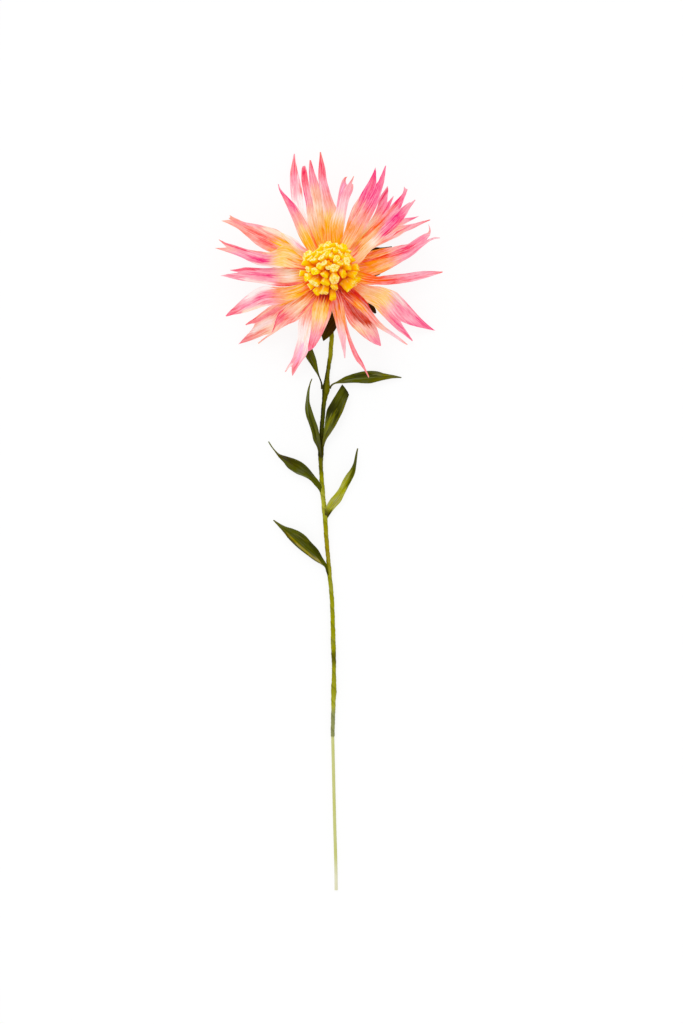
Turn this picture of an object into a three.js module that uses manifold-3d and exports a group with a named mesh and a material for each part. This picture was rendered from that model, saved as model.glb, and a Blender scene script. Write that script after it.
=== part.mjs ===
// A dahlia blossom made of creped paper on a wrapped wire stem, lying on its back.
// Millimetres, +Z up. The flower faces +Z, and the stem runs along -Y on the surface it lies on.
// The model is laid out around the flower's own axis, and is moved at the end so that the origin
// is under the middle of its bounding box.

import * as THREE from "three";
import { mergeVertices } from "three/addons/utils/BufferGeometryUtils.js";
import Module from "manifold-3d";

// Driving dimensions
const SEAT_GAP = 0.3; // clearance between a piece and what carries it
const PETAL_THICKNESS = 0.5;
const LEAF_THICKNESS = 0.6;

// Flower base: a wound paper core that every petal foot is glued to
const CORE_RADIUS = 12;
const CORE_NECK_RADIUS = 2.4;
const CORE_BOTTOM = 9.6;
const CORE_TOP = 25;
// The flare from the neck to the drum, as radius and height above the bottom
const CORE_FLARE = [
  [5, 1.4],
  [9, 3],
  [CORE_RADIUS, 4.6],
];
const CORE_SHOULDER = 1.4;

// Petals stand on the core in levels: a higher level starts higher and ends higher
const LOWEST_FOOT = 14.2;
const FOOT_PER_LEVEL = 3.1;
const LOWEST_TIP = 4.5;
const TIP_PER_LEVEL = 8;
const PETAL_ARCH = 3;
const PETAL_GRID = [4, 9]; // faces across and along

// Disc: a dome of short blunt florets
const DISC_DOME_RADIUS = 13;
const DISC_DOME_HEIGHT = 6;
const DISC_CROWN_RADIUS = 8;
const FLORET_RADIUS = 2.2;
const FLORET_RINGS = [
  { count: 17, radius: 13.4, height: 3.0, tilt: 74, length: 4.2 },
  { count: 12, radius: 9.4, height: 5.4, tilt: 48, length: 4.6 },
  { count: 8, radius: 5.3, height: 6.6, tilt: 24, length: 4.6 },
  { count: 3, radius: 1.9, height: 7.0, tilt: 8, length: 4.4 },
];

// Outline families. foot, belly and end are widths as a share of the petal's full width and the place
// of its widest point; fall shapes the taper from the belly to the tip.
const LANCE = { foot: 0.5, belly: 0.45, fall: 1.7, end: 0.05 };
const SPOON = { foot: 0.4, belly: 0.57, fall: 1.8, end: 0.05 };
const TAILED = { foot: 0.5, belly: 0.36, fall: 0.8, end: 0.1 };
const BLUNT = { foot: 0.55, belly: 0.35, fall: 1.2, end: 0.4 };
const FORKED = { foot: 0.42, belly: 0.42, fall: 1.4, end: 0.7 };
const FLARED = { foot: 0.4, belly: 0.55, fall: 2.0, end: 0.95 };
const HIPPED = { foot: 0.45, belly: 0.3, fall: 0.65, end: 0.42 };
const SEPAL = { foot: 0.28, belly: 0.55, fall: 2.0, end: 0.1 };
const LEAF = { foot: 0.12, belly: 0.5, fall: 1.8, end: 0.06 };

// Petals, clockwise seen from above. from and to are the azimuths of foot and tip in degrees, and bow
// swings the middle. fork is the depth of the cleft between two tips, skew makes the right tip longer
// than the left, and splay spreads the two. lean raises the left edge over the neighbour, and cup
// raises both edges.
const PETALS = [
  { outline: LANCE, from: 131, to: 120.5, bow: -2, reach: 58.5, width: 7, level: 2.3, lean: 0.1, cup: 0.2 },
  { outline: LANCE, from: 123, to: 107, reach: 71, width: 8, level: 0.3, tip: 0.3, cup: 0.1 },
  { outline: BLUNT, from: 120, to: 104, reach: 63.5, width: 6, level: 0.9, lean: 0.1, cup: 0.1 },
  { outline: LANCE, from: 101, to: 100, bow: 0.5, reach: 65.5, width: 6.8, level: 1.4, lean: 0.1, cup: 0.1 },
  { outline: LANCE, from: 83, to: 95, bow: 2, reach: 69, width: 8.5, level: 1.9, lean: 0.1, cup: 0.1 },
  { outline: FORKED, from: 75, to: 78.5, reach: 56, width: 7.6, level: 2.4, fork: 8, splay: 0.5, lean: 0.1 },
  { outline: FORKED, from: 58, to: 64, reach: 68, width: 12, level: 2.9, fork: 12, skew: 3, cup: 0.1 },
  { outline: FLARED, from: 46, to: 52, reach: 58, width: 8.5, level: 1.7, fork: 7, skew: -3, splay: 0.6 },
  { outline: LANCE, from: 40, to: 47, reach: 65, width: 8.5, level: 2.3, cup: 0.1 },
  { outline: LANCE, from: 24, to: 39.5, bow: 1.5, reach: 64.5, width: 8.5, level: 2.9, cup: 0.15 },
  { outline: FLARED, from: 31, to: 29.3, reach: 63, width: 7.5, level: 1.2, fork: 14, skew: 4, splay: 0.5 },
  { outline: HIPPED, from: 4, to: 18.4, reach: 65, width: 13.5, level: 1.9, fork: 8, skew: 4, splay: 0.5 },
  { outline: LANCE, from: 339, to: 359.5, bow: 2.5, reach: 66, width: 6, level: 2.5, cup: 0.2 },
  {
    outline: FLARED, from: 337, to: 324.5, reach: 67, width: 15.5, level: 1.6, tip: 2.4,
    fork: 16, skew: -8, splay: 0.6,
  },
  { outline: TAILED, from: 308.5, to: 316, reach: 63, width: 6.5, level: 2.4, cup: 0.3 },
  { outline: SPOON, from: 294, to: 304, reach: 53.5, width: 12.5, level: 1.5, cup: 0.2 },
  { outline: LANCE, from: 287, to: 290, bow: -2.5, reach: 66.5, width: 3.4, level: 2.4, cup: 0.2 },
  { outline: TAILED, from: 279, to: 279.5, reach: 52, width: 5.5, level: 1.0, cup: 0.1 },
  { outline: BLUNT, from: 258, to: 257, reach: 48, width: 8.8, level: 2.4, cup: 0.1 },
  { outline: FORKED, from: 247, to: 248.8, reach: 65.5, width: 10.5, level: 1.1, tip: 5, fork: 6, splay: 0.4 },
  { outline: TAILED, from: 235, to: 225, reach: 60, width: 11.5, level: 2.0, cup: 0.1 },
  {
    outline: FORKED, from: 225, to: 216.5, reach: 64, width: 12, level: 1.3, tip: 3.0,
    fork: 10.5, skew: -10, splay: 0.6,
  },
  { outline: SPOON, from: 220, to: 204, bow: -9, reach: 67, width: 12.5, level: 2.5, cup: 0.1 },
  { outline: FORKED, from: 194, to: 181.5, reach: 61, width: 9.8, level: 1.6, fork: 6, skew: -5 },
  { outline: HIPPED, from: 161, to: 167.5, bow: 4, reach: 68, width: 13.5, level: 2.5, fork: 5, skew: -1 },
  { outline: HIPPED, from: 149, to: 154, bow: 1, reach: 68, width: 13.5, level: 1.8, fork: 4, skew: -3 },
  { outline: LANCE, from: 142, to: 143, reach: 37, width: 10, level: 1.0, cup: 0.1 },
];

// Sepals: five dark bracts under the petals, from the narrow lower end of the core
const SEPALS = [
  { from: 264, to: 264, reach: 41.5, width: 10.5, foot: 10.3, tip: 7.5 },
  { from: 328, to: 319, reach: 39, width: 12, foot: 10.3, tip: 5.0 },
  { from: 37, to: 14, reach: 39, width: 15, foot: 10.3, tip: 6.5 },
  { from: 105, to: 96, reach: 38, width: 12, foot: 10.3, tip: 4.0 },
  { from: 181, to: 185, reach: 38, width: 12, foot: 10.3, tip: 5.0 },
];
const SEPAL_FOOT_RADIUS = 5;
const SEPAL_ARCH = 0.5;
const SEPAL_GRID = [2, 6];

// Stem: its centre line from the core to the end of the green wrapping, and its radius there
const STEM_ROUTE = [
  { at: [0, 0, CORE_BOTTOM - SEAT_GAP], radius: 1.8 },
  { at: [0, 0, 7.8], radius: 1.8 },
  { at: [0, -2.6, 3.9], radius: 1.8 },
  { at: [0.1, -7, 2.1], radius: 1.8 },
  { at: [0.4, -14, 1.8], radius: 1.8 },
  { at: [1, -38, 1.8], radius: 1.75 },
  { at: [0, -52, 1.4], radius: 1.4 },
  { at: [-1.7, -65, 1.45], radius: 1.45 },
  { at: [-2.4, -71, 2.1], radius: 2.1 },
  { at: [-3.3, -78, 1.35], radius: 1.35 },
  { at: [-4.9, -94, 1.5], radius: 1.5 },
  { at: [-5.3, -106, 1.7], radius: 1.7 },
  { at: [-4.8, -118, 1.3], radius: 1.3 },
  { at: [-4.2, -128, 1.6], radius: 1.6 },
  { at: [-2.8, -143, 1.7], radius: 1.7 },
  { at: [-1.8, -156, 1.3], radius: 1.3 },
  { at: [-0.3, -175, 1.5], radius: 1.5 },
  { at: [1.2, -193, 1.3], radius: 1.3 },
  { at: [1.9, -220, 1.5], radius: 1.5 },
  { at: [2.3, -233, 1.2], radius: 1.2 },
  { at: [2.2, -246, 1.75], radius: 1.75 },
  { at: [2.0, -256, 1.25], radius: 1.25 },
  { at: [1.5, -274, 1.2], radius: 1.2 },
];
const STEM_STEPS = 66;
const STEM_SIDES = 8;

// Bare wire below the wrapping
const WIRE_ROUTE = [
  { at: [1.5, -274 - SEAT_GAP, 0.95], radius: 0.95 },
  { at: [2.0, -295, 0.95], radius: 0.95 },
  { at: [2.7, -325, 0.95], radius: 0.95 },
  { at: [3.4, -350, 0.95], radius: 0.95 },
  { at: [3.6, -364.5, 0.95], radius: 0.95 },
];
const WIRE_STEPS = 12;

// Leaves, from the flower down. Each springs from the stem, and its blade bends through the middle
// point to its tip. roll turns the blade about its own midrib, in degrees. LEAF_CUP is how far a
// leaf's edges rise over its midrib, as a share of its half width.
const LEAF_CUP = 0.25;
const LEAF_GRID = [2, 9];
const LEAVES = [
  { foot: [-4.5, -72, 4.0], middle: [-9.5, -58, 6.5], tip: [-17, -32, 5.5], width: 8, roll: 35 },
  { foot: [0.2, -68.5, 2.6], middle: [18, -61, 5.5], tip: [41.5, -62.5, 2.0], width: 8, roll: -8 },
  { foot: [-7.6, -104, 2.6], middle: [-15.5, -88, 6.5], tip: [-10.6, -64, 7.5], width: 9, roll: 62 },
  { foot: [-3.0, -103, 2.9], middle: [0.5, -84, 8.0], tip: [10, -69.5, 5.0], width: 9, roll: -20 },
  { foot: [-6.3, -128.5, 2.4], middle: [-21, -118, 6.5], tip: [-36, -100.5, 3.0], width: 8, roll: 18 },
  { foot: [-0.6, -142, 2.6], middle: [13, -128, 7.0], tip: [16.3, -104.5, 6.0], width: 8, roll: -50 },
  { foot: [-2.4, -174.5, 2.6], middle: [-14, -163, 6.5], tip: [-33, -146.3, 2.2], width: 8.5, roll: 12 },
];

// Colours
const PETAL_COLOUR = 0xf98f86;
const DISC_COLOUR = 0xf6c40a;
const CORE_COLOUR = 0x7c6a22;
const SEPAL_COLOUR = 0x35290a;
const STEM_COLOUR = 0x757313;
const WIRE_COLOUR = 0xa9ab52;
const LEAF_COLOUR = 0x4d5a1e;

const UP = new THREE.Vector3(0, 0, 1);
const ACROSS = new THREE.Vector3(1, 0, 0);

function material(color, roughness) {
  return new THREE.MeshStandardMaterial({ color, roughness, metalness: 0 });
}

const PETAL_PAPER = material(PETAL_COLOUR, 0.85);
const LEAF_PAPER = material(LEAF_COLOUR, 0.7);
const SEPAL_PAPER = material(SEPAL_COLOUR, 0.8);

function namedMesh(name, geometry, finish) {
  const mesh = new THREE.Mesh(geometry, finish);
  mesh.name = name;
  return mesh;
}

function numbered(kind, index) {
  return `${kind}_${String(index + 1).padStart(2, "0")}`;
}

// Width of a petal or leaf at u, as a share of its full width
function outlineWidth({ foot, belly, fall, end }, u) {
  if (u < belly) {
    return THREE.MathUtils.lerp(foot, 1, THREE.MathUtils.smoothstep(u / belly, 0, 1));
  }
  const beyond = (u - belly) / (1 - belly);
  return THREE.MathUtils.lerp(1, end, Math.pow(beyond, fall));
}

// A sheet of paper as a closed solid. surface(u, v) is its middle layer: u runs from foot to tip and
// v from the left edge (-1) to the right (+1).
function paperSheet(surface, thickness, columns, rows) {
  const geometry = new THREE.BoxGeometry(2, 1, 1, columns, rows, 1);
  const places = geometry.attributes.position;
  const step = 1e-3;
  for (let i = 0; i < places.count; i++) {
    const v = places.getX(i);
    const u = places.getY(i) + 0.5;
    const alongU = surface(u + step, v).sub(surface(u - step, v));
    const alongV = surface(u, v + step).sub(surface(u, v - step));
    const normal = alongV.cross(alongU).normalize();
    const place = surface(u, v).addScaledVector(normal, places.getZ(i) * thickness);
    places.setXYZ(i, place.x, place.y, place.z);
  }
  return geometry;
}

// How far a petal reaches at v: a forked one has a tip in the middle of each half and a cleft between
function reachAt({ reach, fork = 0, skew = 0 }, v) {
  const side = Math.abs(v);
  const offTip = Math.abs(side - 0.5) * 2;
  return reach + (skew / 2) * THREE.MathUtils.clamp(v * 2, -1, 1) - fork * offTip;
}

// Middle layer of a petal or sepal that starts at footRadius and footHeight
function radialSurface(petal, outline, footRadius, footHeight, tipHeight, arch) {
  const { from, to, bow = 0, reach, width, splay = 0, lean = 0, cup = 0 } = petal;
  return (u, v) => {
    const radius = THREE.MathUtils.lerp(footRadius, reachAt(petal, v), u);
    const share = (radius - footRadius) / (reach - footRadius);
    const swing = 4 * share * (1 - share);
    const azimuth = THREE.MathUtils.degToRad(THREE.MathUtils.lerp(from, to, share) + bow * swing);
    const half = (width / 2) * outlineWidth(outline, THREE.MathUtils.clamp(u, 0, 1));
    const offset = half * v * (1 + splay * u * u * (1 - Math.abs(v)));
    const rise = THREE.MathUtils.lerp(footHeight, tipHeight, share) + arch * swing;
    return new THREE.Vector3(
      radius * Math.cos(azimuth) + offset * Math.sin(azimuth),
      radius * Math.sin(azimuth) - offset * Math.cos(azimuth),
      rise + half * (cup * v * v - lean * v) * Math.min(1, share * 3),
    );
  };
}

function petalGeometry(petal) {
  const footHeight = LOWEST_FOOT + FOOT_PER_LEVEL * petal.level;
  const tipHeight = petal.tip ?? LOWEST_TIP + TIP_PER_LEVEL * petal.level;
  const footRadius = CORE_RADIUS + SEAT_GAP;
  const surface = radialSurface(petal, petal.outline, footRadius, footHeight, tipHeight, PETAL_ARCH);
  return paperSheet(surface, PETAL_THICKNESS, ...PETAL_GRID);
}

function sepalGeometry(sepal) {
  const surface = radialSurface(sepal, SEPAL, SEPAL_FOOT_RADIUS, sepal.foot, sepal.tip, SEPAL_ARCH);
  return paperSheet(surface, PETAL_THICKNESS, ...SEPAL_GRID);
}

function leafGeometry({ foot, middle, tip, width, roll }) {
  const midrib = new THREE.QuadraticBezierCurve3(
    new THREE.Vector3(...foot),
    new THREE.Vector3(...middle),
    new THREE.Vector3(...tip),
  );
  const turn = THREE.MathUtils.degToRad(roll);
  const surface = (u, v) => {
    const along = midrib.getTangent(THREE.MathUtils.clamp(u, 0, 1));
    const flat = along.clone().cross(UP).normalize();
    const side = flat.applyAxisAngle(along, turn * THREE.MathUtils.smoothstep(u, 0, 0.4));
    const raised = side.clone().cross(along);
    const half = (width / 2) * outlineWidth(LEAF, THREE.MathUtils.clamp(u, 0, 1));
    const place = midrib.getPoint(THREE.MathUtils.clamp(u, 0, 1));
    return place.addScaledVector(side, v * half).addScaledVector(raised, LEAF_CUP * half * v * v);
  };
  return paperSheet(surface, LEAF_THICKNESS, ...LEAF_GRID);
}

// A round wire or wrapped stem whose radius changes along its route
function taperedWire(route, sides, steps) {
  const centre = new THREE.CatmullRomCurve3(route.map(({ at }) => new THREE.Vector3(...at)));
  const radii = new THREE.CatmullRomCurve3(
    route.map(({ radius }, i) => new THREE.Vector3(i, radius, 0)),
  );
  const geometry = new THREE.CylinderGeometry(1, 1, 1, sides, steps);
  const places = geometry.attributes.position;
  for (let i = 0; i < places.count; i++) {
    const u = 0.5 - places.getY(i);
    const along = centre.getTangent(u);
    const right = ACROSS.clone().addScaledVector(along, -ACROSS.dot(along)).normalize();
    const up = along.clone().cross(right);
    const radius = radii.getPoint(u).y;
    const place = centre
      .getPoint(u)
      .addScaledVector(right, places.getX(i) * radius)
      .addScaledVector(up, places.getZ(i) * radius);
    places.setXYZ(i, place.x, place.y, place.z);
  }
  return geometry;
}

// The wound core: a narrow neck over the stem that flares to the drum the petals are glued to
function coreGeometry() {
  const profile = [
    [0, CORE_BOTTOM],
    [CORE_NECK_RADIUS, CORE_BOTTOM],
    ...CORE_FLARE.map(([radius, height]) => [radius, CORE_BOTTOM + height]),
    [CORE_RADIUS, CORE_TOP - CORE_SHOULDER],
    [CORE_RADIUS - CORE_SHOULDER, CORE_TOP],
    [0, CORE_TOP],
  ];
  const geometry = new THREE.LatheGeometry(profile.map(([r, y]) => new THREE.Vector2(r, y)), 24);
  return geometry.rotateX(Math.PI / 2);
}

const wasm = await Module();
wasm.setup();

function toManifold(geometry) {
  const bare = geometry.clone();
  bare.deleteAttribute("normal");
  bare.deleteAttribute("uv");
  const merged = mergeVertices(bare);
  return new wasm.Manifold(
    new wasm.Mesh({
      numProp: 3,
      vertProperties: new Float32Array(merged.attributes.position.array),
      triVerts: new Uint32Array(merged.index.array),
    }),
  );
}

function toGeometry(solid) {
  const { vertProperties, triVerts } = solid.getMesh();
  const geometry = new THREE.BufferGeometry();
  geometry.setAttribute("position", new THREE.BufferAttribute(vertProperties, 3));
  geometry.setIndex(new THREE.BufferAttribute(triVerts, 1));
  return geometry;
}

// The disc: a low dome with rings of blunt florets that lean outwards, joined into one solid
function discGeometry() {
  const bottom = CORE_TOP + SEAT_GAP;
  const dome = new THREE.Shape();
  dome.moveTo(0, 0);
  dome.lineTo(DISC_DOME_RADIUS, 0);
  dome.bezierCurveTo(
    DISC_DOME_RADIUS, DISC_DOME_HEIGHT / 2, DISC_CROWN_RADIUS, DISC_DOME_HEIGHT, 0, DISC_DOME_HEIGHT,
  );
  const profile = dome.getPoints(6);
  profile[profile.length - 1].x = 0;
  let solid = toManifold(new THREE.LatheGeometry(profile, 16).rotateX(Math.PI / 2));
  for (const { count, radius, height, tilt, length } of FLORET_RINGS) {
    for (let i = 0; i < count; i++) {
      const floret = new THREE.CapsuleGeometry(FLORET_RADIUS, length, 2, 7);
      floret.rotateX(Math.PI / 2);
      floret.rotateY(THREE.MathUtils.degToRad(tilt));
      floret.translate(radius, 0, height);
      floret.rotateZ((2 * Math.PI * (i + 0.5 * (count % 3))) / count);
      solid = solid.add(toManifold(floret));
    }
  }
  return toGeometry(solid).translate(0, 0, bottom);
}

const flower = new THREE.Group();
flower.add(namedMesh("flower_core", coreGeometry(), material(CORE_COLOUR, 0.9)));
flower.add(namedMesh("disc_florets", discGeometry(), material(DISC_COLOUR, 0.75)));
PETALS.forEach((petal, i) => {
  flower.add(namedMesh(numbered("petal", i), petalGeometry(petal), PETAL_PAPER));
});
SEPALS.forEach((sepal, i) => {
  flower.add(namedMesh(numbered("sepal", i), sepalGeometry(sepal), SEPAL_PAPER));
});
LEAVES.forEach((leaf, i) => {
  flower.add(namedMesh(numbered("leaf", i), leafGeometry(leaf), LEAF_PAPER));
});
const stem = taperedWire(STEM_ROUTE, STEM_SIDES, STEM_STEPS);
flower.add(namedMesh("stem", stem, material(STEM_COLOUR, 0.65)));
const wire = taperedWire(WIRE_ROUTE, STEM_SIDES, WIRE_STEPS);
flower.add(namedMesh("stem_wire", wire, material(WIRE_COLOUR, 0.5)));

const bounds = new THREE.Box3().setFromObject(flower);
const middle = bounds.getCenter(new THREE.Vector3());
flower.position.set(-middle.x, -middle.y, -bounds.min.z);

const group = new THREE.Group();
group.add(flower);
export default group;
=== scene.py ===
import math

import bmesh
import bpy
import numpy as np
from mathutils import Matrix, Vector


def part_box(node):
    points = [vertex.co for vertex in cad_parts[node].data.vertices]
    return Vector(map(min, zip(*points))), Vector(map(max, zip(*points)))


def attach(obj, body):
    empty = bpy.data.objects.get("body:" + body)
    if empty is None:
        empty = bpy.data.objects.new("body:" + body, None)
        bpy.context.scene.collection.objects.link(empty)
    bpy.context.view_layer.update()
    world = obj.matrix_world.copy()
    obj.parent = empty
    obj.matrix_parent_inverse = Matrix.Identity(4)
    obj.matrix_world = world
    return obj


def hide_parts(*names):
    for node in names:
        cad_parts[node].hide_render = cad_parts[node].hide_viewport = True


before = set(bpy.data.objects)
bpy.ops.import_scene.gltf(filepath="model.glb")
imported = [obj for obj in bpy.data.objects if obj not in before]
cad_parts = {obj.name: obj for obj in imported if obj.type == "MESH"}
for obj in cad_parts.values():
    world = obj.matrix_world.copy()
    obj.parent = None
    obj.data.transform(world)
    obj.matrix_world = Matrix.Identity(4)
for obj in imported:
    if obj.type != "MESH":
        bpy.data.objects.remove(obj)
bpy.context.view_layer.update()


# The table: a wide matt light table under a soft, bright studio light, seen from straight above.
# A large lamp beyond the top of the head gives the petals their faint shading.
BOARD_RADIUS = 8
BOARD_TOP = -0.0003

eye = bpy.data.cameras.new("studio_camera")
eye.lens = 100
eye.sensor_width = 36
eye.clip_start = 0.1
eye.clip_end = 60
camera = bpy.data.objects.new("studio_camera", eye)
camera.location = (0.0073, 0.0063, 1.678)
bpy.context.scene.collection.objects.link(camera)
bpy.context.scene.camera = camera
bpy.context.scene.view_settings.view_transform = "Standard"

sky = bpy.data.worlds.new("white_room")
bpy.context.scene.world = sky
sky.use_nodes = True
sky_light = sky.node_tree.nodes["Background"]
sky_light.inputs["Color"].default_value = (1.0, 1.0, 1.0, 1)
sky_light.inputs["Strength"].default_value = 0.95

lamp = bpy.data.lights.new("softbox", "SUN")
lamp.energy = 0.55
lamp.angle = math.radians(28)
lamp.color = (1.0, 0.985, 0.96)
softbox = bpy.data.objects.new("softbox", lamp)
softbox.rotation_euler = Vector((-0.32, 0.72, 0.95)).to_track_quat("Z", "Y").to_euler()
bpy.context.scene.collection.objects.link(softbox)

bpy.ops.object.select_all(action="DESELECT")
bpy.ops.mesh.primitive_circle_add(
    vertices=96, radius=BOARD_RADIUS, fill_type="NGON", location=(0, 0, BOARD_TOP)
)
board = bpy.context.object
board.name = "white_board"
board_paint = bpy.data.materials.new("white_board")
board_paint.use_nodes = True
board_shader = board_paint.node_tree.nodes["Principled BSDF"]
board_shader.inputs["Base Color"].default_value = (0.15, 0.15, 0.15, 1)
board_shader.inputs["Emission Color"].default_value = (1, 1, 1, 1)
board_shader.inputs["Emission Strength"].default_value = 0.84
board_shader.inputs["Roughness"].default_value = 0.9
board_shader.inputs["Specular IOR Level"].default_value = 0.1
board.data.materials.append(board_paint)


# The wire: florist's wire covered with pale green paper, bare of tape from the end of the stem on.
# It is cut off square with pliers, and its paper is palest there.
# This piece and all that follow are measured from the axis of the flower's head, in millimetres.
head_low, head_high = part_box("flower_core")
HEAD_X = (head_low.x + head_high.x) / 2
HEAD_Y = (head_low.y + head_high.y) / 2
MM = 0.001
# How brightly the studio lights white paper, and the most light that any dyed paper gives back.
STUDIO_LIGHT = 1.04
PALEST_PAPER = 0.94
# Each piece is cut further on in the crepe than the last one, so that no two share a grain.
NEXT_CUT = np.array([31.7, 11.3])
# The angle past which a fold of paper shows as a crease.
CREASE = math.radians(50)
WIRE_STEPS = 180
WIRE_LANES = 12
WIRE_RADIUS = 0.93
PALETTE = {"straw": (196, 198, 124), "sand": (220, 218, 184)}


def dye(name):
    """A dye as the share of light that dry paper painted with it gives back."""
    shown = np.array(PALETTE[name]) / 255
    light = np.where(shown > 0.04045, ((shown + 0.055) / 1.055) ** 2.4, shown / 12.92)
    return light / STUDIO_LIGHT


def blended(places, ground):
    """The dye at each place, running evenly between the places where the ground names one."""
    stops = np.array(list(ground), float)
    tints = np.array([dye(name) for name in ground.values()])
    return np.stack([np.interp(places, stops, channel) for channel in tints.T], axis=-1)


def painted(piece, spots, paint, grain, glow=0):
    """Sets where a piece's vertices lie, their dye and their place on the grain.
    glow is light that the paper gives off itself: a painted glow, standing in for the light that
    comes through thin paper and lightening its shade, which the dye on it then needn't give back."""
    mesh = piece.data
    placed = spots * MM + np.array([HEAD_X, HEAD_Y, 0])
    mesh.vertices.foreach_set("co", placed.ravel())
    colours = mesh.color_attributes.new("dye", "FLOAT_COLOR", "POINT")
    paint = paint * STUDIO_LIGHT / (STUDIO_LIGHT + glow)
    filled = np.c_[np.clip(paint, 0, PALEST_PAPER), np.ones(len(paint))]
    colours.data.foreach_set("color", filled.ravel())
    corners = np.empty(len(mesh.loops), int)
    mesh.loops.foreach_get("vertex_index", corners)
    layer = mesh.uv_layers.active or mesh.uv_layers.new()
    layer.name = "grain"
    layer.data.foreach_set("uv", grain[corners].ravel())


def spots_of(piece):
    """Where a piece's vertices lie."""
    spots = np.empty(len(piece.data.vertices) * 3)
    piece.data.vertices.foreach_get("co", spots)
    return spots.reshape(-1, 3)


def laid_grid(name, lanes, steps):
    """A new grid, with the step and the lane that each of its vertices lies on."""
    bpy.ops.object.select_all(action="DESELECT")
    bpy.ops.mesh.primitive_grid_add(x_subdivisions=lanes, y_subdivisions=steps, size=2)
    piece = bpy.context.object
    piece.name = name
    piece.data.name = name
    spots = spots_of(piece)
    lane = np.rint((spots[:, 0] + 1) / 2 * lanes).astype(int)
    step = np.rint((spots[:, 1] + 1) / 2 * steps).astype(int)
    return piece, step, lane


def closed():
    """Joins the seam and the poles of the piece that was just rolled up from a grid."""
    bpy.ops.object.mode_set(mode="EDIT")
    bpy.ops.mesh.select_all(action="SELECT")
    bpy.ops.mesh.remove_doubles(threshold=1e-6)
    bpy.ops.mesh.dissolve_degenerate(threshold=1e-7)
    bpy.ops.mesh.normals_make_consistent(inside=False)
    bpy.ops.object.mode_set(mode="OBJECT")
    bpy.ops.object.shade_smooth_by_angle(angle=CREASE)


def drawn(points, count):
    """Evenly spread places along a smooth line through the points."""
    line = np.array(points, float)
    reached = np.r_[0, np.cumsum(np.sqrt((np.diff(line[:, :2], axis=0) ** 2).sum(1)))]
    slope = np.zeros_like(line)
    slope[1:-1] = (line[2:] - line[:-2]) / (reached[2:] - reached[:-2])[:, None]
    slope[0] = (line[1] - line[0]) / (reached[1] - reached[0])
    slope[-1] = (line[-1] - line[-2]) / (reached[-1] - reached[-2])
    at = np.linspace(0, reached[-1], count)
    i = np.clip(np.searchsorted(reached, at, side="right") - 1, 0, len(line) - 2)
    step = (reached[i + 1] - reached[i])[:, None]
    u = (at[:, None] - reached[i][:, None]) / step
    near = (2 * u**3 - 3 * u**2 + 1) * line[i] + (u**3 - 2 * u**2 + u) * step * slope[i]
    far = (3 * u**2 - 2 * u**3) * line[i + 1] + (u**3 - u**2) * step * slope[i + 1]
    return near + far


def capped(rows):
    """Rows along a rolled piece with both ends given twice, for the faces that close it."""
    return np.r_[rows[:1], rows, rows[-1:]]


def rolled_tube(name, route, radius, paint, cut):
    """A closed round piece along a capped route, with its radius and dye at each step and lane."""
    around = radius.shape[1]
    piece, step, lane = laid_grid(name, around, len(route) - 1)
    ahead = capped(np.gradient(route[1:-1], axis=0))
    ahead = ahead / np.linalg.norm(ahead, axis=1)[:, None]
    over = np.cross(ahead, np.array([1.0, 0, 0]))
    over = over / np.linalg.norm(over, axis=1)[:, None]
    aside = np.cross(over, ahead)
    turn = (lane % around) / around * 2 * math.pi
    out = aside[step] * np.cos(turn)[:, None] + over[step] * np.sin(turn)[:, None]
    spots = route[step] + out * radius[step, lane % around][:, None]
    run = np.r_[0, np.cumsum(np.linalg.norm(np.diff(route, axis=0), axis=1))]
    girth = 2 * math.pi * radius.max()
    grain = np.c_[lane / around * girth, run[step]] + NEXT_CUT * cut
    painted(piece, spots, paint[step, lane % around], grain)
    closed()
    return piece


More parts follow.
